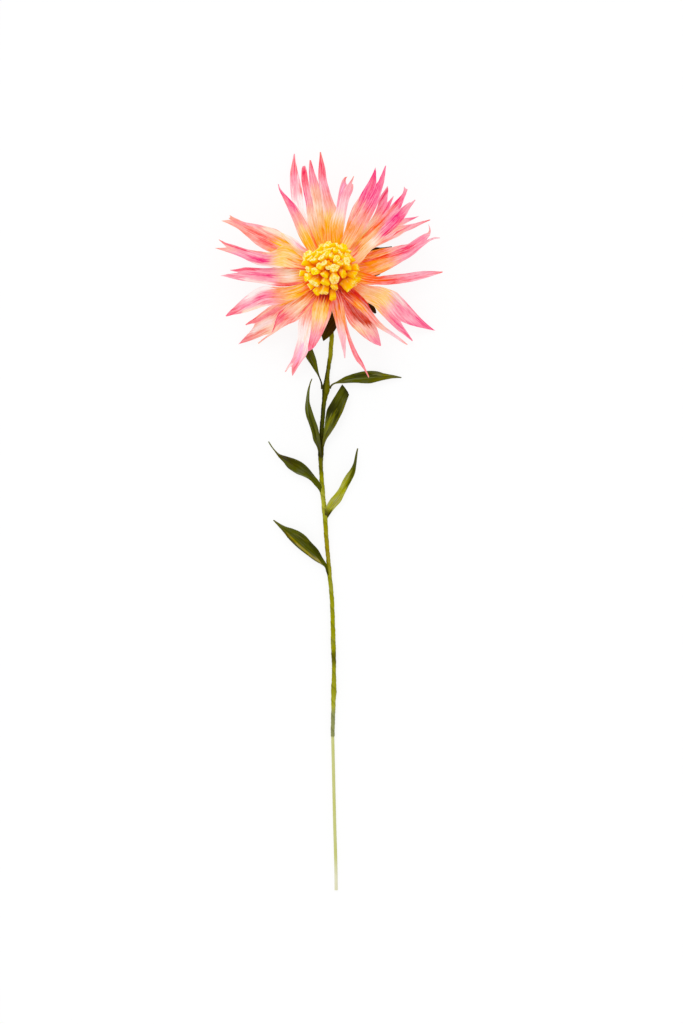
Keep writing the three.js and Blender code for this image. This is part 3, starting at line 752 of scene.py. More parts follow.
petal(
    3, level=0.9, reach=63.5, cup=0.1, lean=0.1,
    left=[
        (-7.4, 9.9), (-10.2, 19), (-12.6, 27), (-13.6, 33), (-14.2, 39.5), (-15.5, 45.5), (-16.5, 50.5),
        (-16.8, 55), (-16.5, 59.3), (-15.9, 60.8),
    ],
    right=[
        (-2.4, 12), (-5.4, 22), (-8.6, 33), (-10.8, 43), (-12.4, 51), (-13.2, 55.5), (-14, 59.6),
        (-14.6, 61),
    ],
    ground={
        20: "gold", 23: "honey", 27: "peach", 33: "cream", 37: "shell", 42: "powder", 47: "pink",
        53: "blossom", 60: "blossom", 63: "pink",
    },
    strokes=[
        ("crimson", 0.7, 1.4, [(-15.3, 59), (-15.2, 53), (-14.4, 47)]),
        ("rose", 0.7, 1.1, [(-15.2, 46), (-14, 39)]),
        ("tangerine", 0.4, 0.6, [(-9, 20), (-10, 24)]),
        ("pale_pink", 0.5, 0.7, [(-11.2, 40), (-11.8, 46)]),
        ("apricot", 0.4, 0.8, [(-9.4, 26), (-10.6, 32)]),
    ],
)
petal(
    4, level=1.4, reach=65.5, cup=0.1, lean=0.1,
    left=[
        (-4.3, 11.5), (-6.4, 22), (-8, 29.5), (-9.5, 37), (-10.7, 43.5), (-11.9, 50), (-12.3, 56),
        (-12.2, 60.5), (-12, 64.2),
    ],
    right=[
        (-0.9, 12.2), (-2.2, 22), (-3.6, 32), (-5.2, 42), (-6.6, 50), (-8.2, 54.8), (-9.9, 59.8),
        (-11.2, 64.3),
    ],
    ground={
        21: "gold", 25: "amber", 29: "peach", 34: "peach", 37: "cream", 42: "shell", 48: "shell",
        53: "pink", 58: "pink", 63: "blossom", 67: "salmon",
    },
    strokes=[
        ("cream", 0.9, 0.8, [(-10, 41), (-9, 35), (-7.8, 29)]),
        ("blossom", 0.5, 0.7, [(-9.8, 62), (-9, 55), (-8.4, 49)]),
        ("flame", 0.5, 0.6, [(-3.4, 18), (-4.4, 24)]),
        ("apricot", 0.4, 0.6, [(-7.2, 28), (-8.4, 36), (-9.4, 44)]),
        ("pink", 0.5, 0.8, [(-10.8, 56), (-10.4, 50)]),
    ],
)
petal(
    5, level=1.9, reach=69, cup=0.1, lean=0.1,
    left=[
        (-1.2, 12.2), (-2.6, 20), (-3.3, 28), (-4.2, 36), (-5.4, 44), (-6.5, 51), (-6.9, 56), (-6.6, 60.5),
        (-6.2, 65), (-5.9, 69),
    ],
    right=[
        (2.4, 12), (3.4, 22), (4, 31), (3.6, 36.4), (2.2, 39.5), (0.7, 43.5), (-0.6, 47.8), (-1.8, 52),
        (-2.4, 56), (-2.9, 60), (-4.2, 64.5), (-5.4, 69),
    ],
    ground={
        17: "gold", 20: "tangerine", 23: "gold", 28: "gold", 31: "honey", 36: "shell", 41: "melon",
        50: "pink", 56: "blossom", 62: "blossom", 66: "coral", 69: "salmon",
    },
    strokes=[
        ("crimson", 0.25, 0.8, [(-5.6, 66), (-4.6, 60), (-3, 54)]),
        ("blush", 0.7, 0.8, [(-5.6, 50), (-4.6, 42), (-3.2, 33)]),
        ("red", 0.6, 0.6, [(-2.4, 14), (-3, 19)]),
        ("pale_pink", 0.3, 0.9, [(1.4, 40), (-0.6, 47)]),
        ("cream", 0.6, 0.7, [(2.4, 29), (2, 34)]),
        ("orange", 0.5, 0.8, [(-3, 22), (-3.2, 29)]),
        ("salmon", 0.5, 0.7, [(-1.4, 34), (-2, 44)]),
    ],
)
petal(
    6, level=2.4, reach=56, lean=0.1, rounds=150,
    left=[
        (1.6, 12.2), (0.4, 19), (-0.3, 25.5), (0.8, 30.5), (3.3, 35), (4.2, 40), (5, 45), (6.2, 50),
        (7.4, 52.8), (8.6, 54.2), (10.2, 54.6),
    ],
    end=[
        (9.3, 53.4), (9.2, 51.6), (9.8, 49.7), (11.6, 51.6), (13.1, 53.6), (13.9, 55.2), (14, 54.5),
        (13.3, 52.3), (12.6, 50.6),
    ],
    right=[
        (4.8, 11.4), (7.4, 19), (8.4, 26), (9.3, 32), (10.2, 37.5), (11.4, 42), (12.9, 45.4), (13.6, 48),
        (13.6, 50),
    ],
    ground={
        18: "gold", 21: "tangerine", 26: "amber", 29: "peach", 32: "cream", 37: "pale_pink",
        41: "pale_pink", 46: "pink", 52: "powder", 56: "salmon",
    },
    strokes=[
        ("rose", 0.6, 0.8, [(4.4, 38), (5.4, 42), (6.8, 47)]),
        ("lilac", 0.7, 1, [(6.8, 46), (8.4, 51)]),
        ("coral", 0.5, 0.8, [(9.4, 50), (9.6, 54)]),
        ("salmon", 0.5, 1, [(12.8, 48), (13.2, 52), (13.8, 54.5)]),
        ("tangerine", 0.6, 0.9, [(3.2, 19), (3.4, 26)]),
        ("pink", 0.5, 0.7, [(8.4, 29), (9.6, 37)]),
        ("apricot", 0.5, 0.7, [(5, 22), (7, 28)]),
    ],
)
petal(
    7, level=2.9, reach=68, cup=0.1,
    left=[
        (4.9, 11.4), (7, 18), (9.2, 25), (11.2, 31.5), (13.6, 37.2), (17, 42.6), (20, 47.6), (22.4, 51.5),
        (24.5, 55.4), (26, 58.6), (26.5, 60.1),
    ],
    end=[(26.9, 57.5), (27, 53.8), (27.2, 50.4), (28.6, 52.5), (29.8, 55.3), (31.1, 58.3), (32.3, 61.1)],
    right=[
        (8.5, 8.9), (14.5, 16.6), (19.5, 23), (23.6, 29.8), (26.7, 36), (29, 41.8), (30.4, 47), (31.7, 52),
        (32.4, 57), (32.8, 61),
    ],
    ground={
        13: "tangerine", 17: "honey", 20: "amber", 24: "apricot", 29: "apricot", 33: "melon", 38: "salmon",
        42: "blossom", 47: "rose", 54: "rose", 61: "magenta", 68: "rose",
    },
    strokes=[
        ("magenta", 0.9, 2.4, [(21.6, 42.4), (23.6, 46), (25.4, 51), (26.3, 57)]),
        ("magenta", 0.5, 1.6, [(26, 43.6), (27.6, 49)]),
        ("magenta", 0.5, 1.1, [(31.4, 60), (30.8, 56)]),
        ("pink", 0.6, 1.1, [(29.6, 45), (30.6, 50), (31.6, 55)]),
        ("crimson", 0.5, 1.2, [(23.6, 47), (25.2, 54)]),
        ("shell", 0.8, 1.1, [(12.4, 32), (16, 40)]),
        ("peach", 0.5, 1, [(17.4, 22), (19.6, 27)]),
        ("orange", 0.7, 1.2, [(9, 19), (12, 26.4)]),
        ("shell", 0.6, 0.8, [(17, 33), (20, 39)]),
        ("apricot", 0.6, 1, [(12.6, 25), (15.6, 30.6)]),
    ],
)
petal(
    8, level=2.2, reach=58, painted_light=0.12,
    left=[
        (7.6, 9.8), (15, 19), (21.5, 26.6), (25.2, 31.6), (27.6, 36.8), (28.6, 40.4), (30, 43.9),
        (32.2, 47.1), (33.7, 49.3),
    ],
    end=[(34.1, 46.5), (33.7, 43), (33.4, 39.4), (34.9, 40.8), (36.1, 42.2), (37, 43.3)],
    right=[(9.6, 7.8), (18.5, 18.5), (26, 26.5), (31.5, 33), (34.8, 36.8), (36, 39.6), (37.3, 43)],
    ground={
        13: "honey", 18: "amber", 21: "apricot", 24: "honey", 28: "peach", 32: "cream", 36: "cream",
        41: "shell", 45: "blossom", 51: "rose", 58: "pink",
    },
    strokes=[
        ("crimson", 0.7, 1.1, [(30.2, 40.4), (32, 44.6), (33.8, 49)]),
        ("blossom", 0.6, 1, [(28, 36.4), (30, 40.6)]),
        ("blossom", 0.5, 0.9, [(36, 43.4), (35.2, 41)]),
        ("flame", 0.7, 0.8, [(20.6, 21.6), (23.4, 24.4)]),
        ("pink", 0.5, 1, [(27, 34), (31, 41)]),
    ],
)
petal(
    9, level=2.3, reach=65, cup=0.1,
    left=[
        (8.7, 8.7), (16, 17.6), (22, 24.2), (27.5, 29.3), (32, 33.4), (36.4, 38.4), (40, 42), (42.4, 44.6),
        (43.2, 46.6), (43.4, 48.7),
    ],
    end=[(44.2, 47.7)],
    right=[
        (12, 4.6), (22.6, 14.8), (30, 23), (36, 30.4), (41.2, 36.2), (42.4, 39), (43.6, 42.2), (44.7, 45),
        (45.4, 47.2),
    ],
    ground={
        17: "peach", 20: "apricot", 26: "amber", 31: "peach", 36: "apricot", 41: "salmon", 46: "pink",
        52: "pink", 57: "magenta", 61: "rose", 65: "powder",
    },
    strokes=[
        ("flame", 0.95, 1.2, [(19.8, 19.2), (25, 24.3), (29, 28), (31.4, 30.4)]),
        ("coral", 0.9, 1.2, [(31, 30), (34, 33.4), (38.6, 38)]),
        ("pale_pink", 0.6, 1.1, [(32, 27), (36, 31.6), (39, 35)]),
        ("coral", 0.8, 0.8, [(14, 11.4), (17, 14.6)]),
        ("peach", 0.6, 1, [(19, 16.4), (24, 20.5), (28, 24)]),
        ("crimson", 0.6, 1.2, [(38.4, 37.4), (41.6, 42)]),
    ],
)
petal(
    10, level=2.9, reach=64.5, cup=0.15,
    left=[
        (10.8, 6), (16.2, 11.2), (21.2, 15.8), (25.6, 19.8), (29, 23.6), (32.8, 28), (36.8, 32.2),
        (41.3, 36), (44.4, 38.3), (46.8, 39.8),
    ],
    end=[(47.2, 39.2), (48.4, 40.2), (49.7, 41.2)],
    right=[
        (12, 2.8), (17.8, 4.2), (21.8, 9.2), (25.3, 13), (28.6, 16), (32.2, 19.8), (36.2, 22.8), (39.8, 26),
        (42.6, 29.4), (45, 32.8), (46.6, 35.8), (48.4, 38.6), (50, 41),
    ],
    ground={
        13: "salmon", 16: "peach", 26: "peach", 30: "cream", 34: "shell", 38: "pink", 45: "rose",
        53: "rose", 58: "pink", 64: "powder",
    },
    strokes=[
        ("magenta", 0.95, 1.9, [(32, 20.6), (35.4, 23.6), (39.2, 27.4), (43, 31.4)]),
        ("crimson", 0.95, 1.6, [(33, 20.4), (37, 23.2), (41.6, 28.6)]),
        ("pink", 0.7, 1, [(32, 28.6), (37.5, 33), (41, 35.6)]),
        ("apricot", 0.6, 1, [(21, 17), (26.4, 21.4), (30, 25.4)]),
        ("coral", 0.8, 0.7, [(13.6, 8), (16.4, 10.4)]),
        ("ruby", 0.2, 1.3, [(33.4, 21.6), (36.6, 24.2)]),
        ("amber", 0.5, 0.9, [(18, 12), (22, 14.6)]),
        ("pink", 0.6, 1, [(46, 36), (50, 40)]),
    ],
)
petal(
    11, level=1.2, reach=63, painted_light=0.24,
    left=[
        (10, 7.2), (20, 15.5), (30, 22.6), (38, 28), (43.6, 30.3), (47.5, 30.7), (50, 31.1), (52.1, 31.6),
    ],
    end=[(49, 29.8), (45.8, 28.2), (42.6, 26.2), (46.6, 26.7), (50.6, 27.6), (54.6, 28.7), (58.6, 29.6)],
    right=[
        (11.4, 4.6), (20, 9.6), (26.2, 13), (31.2, 15.6), (35.6, 17.6), (40, 19.6), (44, 22.3), (48, 23.9),
        (52, 26), (55.6, 27.8), (58.8, 29.2),
    ],
    ground={
        17: "shell", 21: "amber", 25: "peach", 30: "cream", 34: "shell", 40: "pale_pink", 47: "shell",
        52: "powder", 60: "pink", 65: "coral",
    },
    strokes=[
        ("crimson", 0.75, 0.7, [(38, 21.5), (42, 23.3), (46, 25.6)]),
        ("salmon", 0.7, 1, [(31, 16.4), (36, 18.6)]),
        ("rose", 0.75, 0.8, [(44.6, 29.8), (48, 30.4), (52, 31.4)]),
        ("coral", 0.4, 0.8, [(48, 25), (56, 28.6)]),
        ("pale_pink", 0.5, 0.7, [(45.4, 27), (49, 29)]),
        ("blush", 0.7, 1, [(34, 16.4), (39, 18.8), (45, 22.4)]),
    ],
)
petal(
    12, level=1.9, reach=65, rounds=150,
    left=[
        (12.2, 3.4), (17.4, 6.4), (20.6, 9), (23.4, 11), (26.5, 11.8), (31, 12.8), (36.4, 13.4),
        (41.5, 14.6), (45.5, 15.2), (48.6, 17.2), (52, 19.4), (55.4, 21.2), (57.3, 21.9), (58, 23.4),
        (57.9, 25.2), (57.5, 26.9),
    ],
    end=[
        (58.6, 25), (59, 22.6), (58.5, 20.4), (57.2, 18.8), (56.4, 17.5), (58.6, 18.4), (61.2, 19.3),
        (64.3, 19),
    ],
    right=[
        (12.2, -1.6), (18, -1.6), (22.4, -2.8), (26.4, -3), (30, -1.9), (34, 0.1), (38.2, 2.4), (42.4, 5),
        (46.6, 7.4), (50.2, 10), (53, 12.6), (55.6, 14.8), (58.4, 16.9), (61.4, 18.2), (64.3, 18.5),
    ],
    folds=[(-0.8, 0.8, [(18.6, 5), (25, 6), (30, 7.2), (35, 8.7), (42, 10.6)])],
    ground={
        13: "gold", 16: "tangerine", 19: "orange", 29: "orange", 34: "apricot", 39: "melon", 44: "pink",
        58: "pink", 67: "pale_pink",
    },
    strokes=[
        ("flame", 0.95, 1.1, [(18.6, 4.6), (25, 6.2), (30.5, 7.3), (36, 8.8)]),
        ("red", 0.85, 0.5, [(19.4, 5.2), (24, 6), (29, 7.3), (34, 9.2)]),
        ("coral", 0.75, 1, [(18.4, 3.6), (20.2, 1.2)]),
        ("crimson", 0.95, 1.7, [(38, 9.4), (43, 11.2), (48.4, 14)]),
        ("coral", 0.7, 1.5, [(34, 8), (40, 9.8)]),
        ("rose", 0.5, 1.2, [(50, 16), (55, 19)]),
        ("amber", 0.8, 1.2, [(24, -0.6), (30, 0.9), (36, 3.2)]),
        ("peach", 0.6, 0.8, [(32, 1.6), (38, 4.2)]),
        ("tangerine", 0.5, 1, [(23, 4), (30, 5)]),
        ("rose", 0.5, 1, [(50, 11.9), (54, 15), (56.5, 18.5)]),
        ("salmon", 0.7, 1, [(58.3, 24.5), (57.8, 22)]),
        ("coral", 0.6, 1.3, [(21, 8.6), (27, 10.4), (34, 11.8)]),
        ("melon", 0.6, 1, [(37, 13), (45, 15.6)]),
    ],
)
petal(
    13, level=2.5, reach=66, cup=0.2,
    left=[
        (12.2, -0.8), (17, -0.9), (21, -1.9), (24, -2.6), (26, -3.2), (28, -3.8), (32, -3.2), (38, -2.6),
        (44, -2.1), (50, -1.1), (55, -0.6), (60, -0.7), (65.8, -0.9),
    ],
    right=[
        (11, -5.4), (16.5, -7.4), (21.5, -8.5), (27, -8.5), (33, -8.6), (39, -8.1), (45, -7.2), (50, -6.3),
        (55, -5), (60, -3.3), (65.9, -1.3),
    ],
    ground={
        17: "gold", 20: "orange", 23: "flame", 28: "flame", 32: "coral", 37: "coral", 42: "blossom",
        48: "pink", 60: "pink", 67: "coral",
    },
    strokes=[
        ("pale_pink", 0.45, 0.8, [(33, -3.6), (38, -3.6), (45, -2.8), (54, -1.4), (61, 0.6)]),
        ("coral", 0.7, 0.9, [(30, -7.4), (38, -7.2), (46, -6.2)]),
        ("blossom", 0.6, 0.8, [(46, -6.2), (56, -3.6), (62, -1)]),
        ("flame", 0.9, 1.1, [(21, -6), (28, -6), (34, -5.8)]),
        ("amber", 0.6, 0.6, [(19, -7.4), (23, -7.9)]),
    ],
)
petal(
    14, level=1.6, reach=67, tip=2.4, painted_light=0.12,
    left=[
        (11.8, -3.6), (18, -7.4), (24, -9.2), (30, -9.8), (34.6, -11.3), (38.6, -12.8), (42, -16),
        (45.4, -19.6), (48.6, -23.2), (52, -27), (55.4, -30.4), (58.4, -33), (61.6, -35.5),
    ],
    end=[
        (57, -34.6), (52, -33.5), (46.6, -32.1), (41.2, -29.9), (43.2, -33.5), (45.8, -37.2), (48.5, -41.3),
    ],
    right=[
        (9.4, -8.2), (13.8, -11.6), (17.4, -15), (21.2, -18.6), (25.2, -20.8), (28.4, -24.3), (32, -28),
        (36, -32), (40, -35.6), (43.4, -38), (46.2, -40.2), (48.1, -41.7),
    ],
    ground={
        13: "tangerine", 17: "apricot", 20: "apricot", 24: "peach", 30: "peach", 36: "honey", 40: "shell",
        43: "powder", 47: "pink", 54: "pink", 60: "rose", 72: "crimson",
    },
    strokes=[
        ("melon", 0.75, 2, [(29.6, -21.6), (33, -25.4), (37, -29)]),
        ("rose", 0.7, 1.4, [(35, -26.6), (40, -31.6), (45, -37.6)]),
        ("blush", 0.85, 1.5, [(36.6, -13.2), (39.5, -16), (43, -20)]),
        ("magenta", 0.5, 1.4, [(40.6, -21), (43.6, -24.2), (46, -25.6)]),
        ("magenta", 0.9, 1.3, [(51.4, -28.4), (56, -32.3), (60.6, -35.2)]),
        ("crimson", 0.8, 0.55, [(44, -18.4), (48, -22.8), (53, -28.2)]),
        ("rose", 0.5, 0.8, [(44, -30.6), (50, -32.4), (56, -34)]),
        ("honey", 0.7, 2.2, [(28, -15), (33, -17.6)]),
        ("crimson", 0.6, 0.7, [(44, -37.2), (46.6, -39.6), (48.2, -41.4)]),
        ("apricot", 0.6, 0.8, [(17, -10.4), (20, -14)]),
        ("gold", 0.6, 1.1, [(20.6, -14.6), (24, -17.6), (28, -21.2)]),
        ("salmon", 0.5, 0.9, [(18, -7.8), (24, -9.8), (29, -10.6)]),
    ],
)
petal(
    15, level=2.4, reach=63, cup=0.3,
    left=[
        (9.2, -8.3), (13.4, -10.4), (16.8, -13.6), (20, -16.8), (21.8, -19.2), (23.4, -22.2), (26.2, -26.6),
        (28.6, -29.6), (31, -32), (34, -34.6), (36.6, -36.4), (39.4, -38.4), (42.4, -40.9), (45.4, -43.5),
    ],
    right=[
        (6.4, -10.6), (7.8, -15.6), (11.2, -18.6), (15, -21.8), (19, -25), (23, -29), (26.8, -32.8),
        (30.8, -35.4), (35, -37.6), (38.6, -39.8), (42, -42.2), (45.1, -43.8),
    ],
    folds=[(-0.8, 0.7, [(11.5, -13.4), (15.5, -17), (20, -21), (25, -26)])],
    # The dark red at its foot is painted shade under the disc.
    ground={
        13: "flame", 17: "shade_scarlet", 21: "flame", 26: "orange", 30: "apricot", 35: "salmon", 41: "melon",
        45: "shell", 50: "pale_pink", 57: "pale_pink", 64: "salmon",
    },
    strokes=[
        # The ruby strokes are painted shade: the shaded edge of a petal between this one and petal 14.
        ("ruby", 0.95, 1.7, [(12.6, -11.4), (16.4, -14.8), (20.4, -18.6), (23.4, -22.6)]),
        ("ruby", 0.7, 1, [(23, -21.6), (26.4, -25.6)]),
        # This scarlet stroke at its foot is painted shade under the disc.
        ("shade_scarlet", 0.8, 0.9, [(9, -14), (13, -17.4)]),
        ("tangerine", 0.4, 1.1, [(15.4, -19.4), (20, -23.4)]),
        ("amber", 0.5, 0.8, [(15.4, -18.4), (18.6, -21.8)]),
        # This maroon stroke at its foot is painted shade under the disc.
        ("shade_maroon", 0.95, 1.1, [(6.8, -11.4), (9.6, -11.6)]),
        ("blush", 0.8, 1.1, [(33, -30.6), (38, -34.6), (43, -38)]),
        ("coral", 0.5, 0.7, [(21, -26), (26, -30)]),
    ],
)
petal(
    16, level=1.5, reach=53.5, cup=0.2,
    left=[
        (7.2, -10.2), (12, -15.6), (17, -20.6), (21.6, -25.2), (24.8, -28.6), (27, -33), (28.2, -36.6),
        (29.2, -40.4), (29.8, -44.2),
    ],
    right=[
        (3.6, -11.9), (6.8, -17.4), (8.2, -22.6), (9.8, -28), (12, -32.2), (15.4, -35.4), (19, -38.6),
        (22.6, -41.2), (26, -43.2), (29.4, -44.4),
    ],
    folds=[(-1.6, 3, [(12, -22), (16, -26), (21, -29)])],
    # The dark red at its foot is painted shade under the disc.
    ground={
        13: "shade_maroon", 15.4: "shade_scarlet", 19: "red", 22: "coral", 26: "coral", 32: "salmon", 37: "shell",
        43: "melon", 50: "pink", 54: "blossom",
    },
    strokes=[
        ("salmon", 0.95, 0.7, [(6.4, -13.2), (8.6, -14.8), (8.2, -18)]),
        # The brick and rust-red strokes are painted shadow, cast by petal 15 into the hollow of this one.
        ("shadow_brick", 0.95, 3.6, [(11.4, -20), (14.8, -24.2), (18.6, -27.2), (22.6, -29.4)]),
        ("shadow_rust_red", 0.7, 1.5, [(14.2, -27), (18.6, -30.4), (24, -31.6)]),
        ("flame", 0.8, 1, [(12.6, -16.4), (16, -21)]),
        ("salmon", 0.8, 0.8, [(8.6, -22), (10.6, -28), (13.4, -32)]),
        ("peach", 0.7, 1.6, [(15, -33.6), (20, -36.4)]),
        ("coral", 0.5, 1, [(18, -38.6), (23, -41.4)]),
        ("shadow_rust_red", 0.7, 0.9, [(12, -22), (14, -25.6)]),
        ("rose", 0.5, 1.1, [(25, -40), (28.4, -43.6)]),
        ("cream", 0.5, 1, [(23, -34.6), (25.6, -38)]),
    ],
)
petal(
    17, level=2.4, reach=66.5, cup=0.2,
    left=[
        (4.8, -11.4), (7, -17), (8.2, -22.4), (9.2, -27.8), (10, -32.6), (11.3, -37), (13, -41.8),
        (15, -46.4), (17.1, -50.6), (19.3, -54.4), (21, -58.2), (22.9, -62.6),
    ],
    right=[
        (3, -12), (5.2, -17.4), (6.2, -22.6), (7.2, -28), (8.3, -33), (9.7, -38), (11.1, -43),
        (12.8, -47.8), (15.1, -52.6), (18.2, -56), (20.7, -59.4), (22.5, -62.9),
    ],
    # The dark red at its foot is painted shade under the disc.
    ground={
        13: "shade_maroon", 14.6: "shade_scarlet", 17: "coral", 19: "salmon", 24: "apricot", 32: "apricot", 36: "coral",
        41: "salmon", 48: "blossom", 62: "blossom", 67: "shell",
    },
    strokes=[
        ("salmon", 0.95, 0.7, [(3.4, -12.6), (6.4, -13.2), (8.6, -14.8), (8.2, -18)]),
        ("pale_pink", 0.4, 0.5, [(9, -29), (10.2, -34), (12.2, -41)]),
        ("coral", 0.5, 0.6, [(12.6, -46), (17, -54), (19.6, -58)]),
    ],
)
petal(
    18, level=1.6, reach=52, cup=0.1, painted_light=0.08,
    left=[
        (3.6, -11.8), (5.8, -16.6), (7, -22), (7.9, -28), (8.8, -33.6), (9.5, -38.6), (9.3, -42.4),
        (9.1, -46), (8.9, -51.4),
    ],
    right=[
        (-0.4, -12.3), (0.2, -17.4), (1, -23), (2.6, -28.6), (4, -34), (5.4, -39.6), (6.8, -44.6), (8, -49),
        (8.5, -51.6),
    ],
    # The dark red at its foot is painted shade under the disc.
    ground={
        13: "shade_maroon", 14.6: "shade_scarlet", 16.4: "coral", 20: "salmon", 24: "apricot", 28: "apricot",
        32: "shell", 38: "pale_pink",
    },
    strokes=[
        ("coral", 0.6, 0.6, [(1.8, -18), (2.6, -24), (4.4, -31)]),
        ("tangerine", 0.5, 0.6, [(5, -18), (6, -23)]),
        ("flame", 0.45, 0.6, [(4.8, -22), (5.2, -27)]),
        ("pink", 0.5, 0.7, [(6.4, -36), (8, -46)]),
        ("melon", 0.5, 0.6, [(4, -30), (6, -38), (7, -43)]),
        # This scarlet stroke at its foot is painted shade under the disc.
        ("shade_scarlet", 0.6, 0.6, [(0.6, -15), (0.8, -19)]),
        ("cream", 0.5, 0.5, [(7.6, -30), (8.4, -38)]),
    ],
)
petal(
    19, level=2.4, reach=48, cup=0.1,
    left=[
        (-0.2, -12.3), (1.6, -17.4), (1.2, -22), (0.4, -26.4), (-1.6, -31.4), (-3.4, -35.2), (-4.9, -38.2),
        (-6.6, -41.2), (-8.2, -43.8),
    ],
    end=[(-9.8, -45.8), (-11.6, -47)],
    right=[
        (-4.6, -11.4), (-7.6, -15.8), (-9.8, -20), (-10.5, -24), (-10.7, -28), (-10.9, -32.4), (-11.5, -37),
        (-12.3, -41.4), (-12.8, -44.6), (-12.7, -47.4),
    ],
    # The dark red at its foot is painted shade under the disc.
    ground={
        16.2: "shade_maroon", 17.2: "shade_scarlet", 18.4: "flame", 19.8: "orange", 21.4: "amber", 25: "amber",
        28: "honey", 32: "shell", 36: "melon", 40: "pink", 45: "blossom", 49: "rose",
    },
    strokes=[
        ("coral", 0.9, 1.3, [(1.2, -17.4), (0.4, -22), (-0.8, -28)]),
        ("melon", 0.8, 1, [(-1, -28), (-2.6, -32), (-4, -35.6)]),
        ("blossom", 0.7, 1, [(-4, -35), (-6, -40), (-8, -44)]),
        ("peach", 0.6, 1, [(-9.6, -28), (-10.2, -34)]),
        ("honey", 0.75, 1, [(-3.6, -18.6), (-5, -25)]),
        ("flame", 0.8, 0.7, [(0.8, -16), (0.6, -20)]),
    ],
)
petal(
    20, level=1.3, reach=65.5, tip=5, painted_light=0.24,
    left=[
        (-3.6, -11.8), (-7.4, -19), (-9.8, -27), (-10.8, -33), (-11.6, -38.4), (-12, -43), (-12.6, -47),
        (-14.2, -50.4), (-16.5, -53.4), (-18.9, -57), (-20.6, -59.8), (-22, -62),
    ],
    end=[(-22.4, -59.6), (-22.4, -56.4), (-23.6, -56.6), (-24.8, -58), (-25.8, -59.6)],
    right=[
        (-6.2, -10.6), (-12.4, -19), (-16.6, -25.8), (-18.5, -31), (-18.7, -36), (-19.2, -41), (-20.5, -46),
        (-21.6, -50.4), (-23, -53.6), (-24.6, -56), (-26.4, -59.4),
    ],
    # The dark red at its foot is painted shade under the disc.
    ground={
        16.4: "shade_scarlet", 18.4: "flame", 20.4: "apricot", 25: "melon", 28: "shell", 31: "shell", 34: "blush",
        37: "white", 43: "white", 46: "blush", 49: "pale_pink", 53: "powder", 58: "pink", 66: "salmon",
    },
    strokes=[
        ("lilac", 0.8, 1.4, [(-16.2, -43.6), (-17.2, -48), (-19.4, -52.4)]),
        ("crimson", 0.9, 0.9, [(-21.6, -61.5), (-20.8, -57.8), (-18.6, -54.8)]),
        ("blossom", 0.5, 1, [(-20, -51), (-22, -56)]),
        ("blush", 0.9, 0.9, [(-22.6, -55.2), (-24.6, -57.6)]),
        ("coral", 0.6, 0.9, [(-10.6, -22.6), (-11.6, -26.6)]),
        ("cream", 0.8, 0.8, [(-11.9, -32), (-13.4, -37), (-15, -41)]),
        ("salmon", 0.6, 0.8, [(-14.4, -27), (-16, -32)]),
    ],
)
petal(
    21, level=2, reach=60, cup=0.1,
    left=[
        (-5, -11.2), (-9.2, -18.6), (-12.6, -22.8), (-16.6, -27.4), (-20, -30), (-24, -31.6), (-28.4, -34),
        (-32.4, -36.6), (-35.6, -38.6), (-38.6, -40.6), (-41.8, -43.1),
    ],
    right=[
        (-9, -8.5), (-15.4, -14.2), (-20.6, -17.6), (-25, -20), (-28.2, -22.8), (-30.6, -26.2), (-32, -30),
        (-32.9, -33.4), (-34.2, -36.4), (-37, -38.6), (-39.8, -40.8), (-42.2, -42.7),
    ],
    folds=[(0.8, 1.2, [(-10, -16), (-16, -22), (-22, -27)])],
    # The dark red at its foot is painted shade under the disc.
    ground={
        16.6: "shade_scarlet", 18.6: "orange", 20.4: "apricot", 22: "apricot", 25: "peach", 32: "shell",
        37: "melon", 42: "melon", 46: "shell", 52: "shell", 56: "melon", 60: "shell",
    },
    strokes=[
        ("coral", 0.8, 1.5, [(-25, -27), (-22, -29.6)]),
        ("crimson", 0.7, 1.2, [(-27.8, -24), (-30.6, -28.4), (-33.4, -34)]),
        ("crimson", 0.9, 0.6, [(-29.2, -24), (-31.2, -28), (-32.4, -32), (-33.6, -36)]),
        ("crimson", 0.75, 1.6, [(-26.8, -25.6), (-29.6, -31)]),
        ("coral", 0.9, 1, [(-9.8, -17), (-13.4, -21.6), (-17.4, -26)]),
        ("flame", 0.6, 0.9, [(-13, -14.2), (-18, -17.6), (-22, -20)]),
        ("cream", 0.6, 1.1, [(-15, -20), (-20, -25)]),
        ("apricot", 0.6, 0.9, [(-24, -21.6), (-28, -25)]),
        ("blush", 0.7, 0.9, [(-26, -37.6), (-29.6, -41)]),
    ],
)
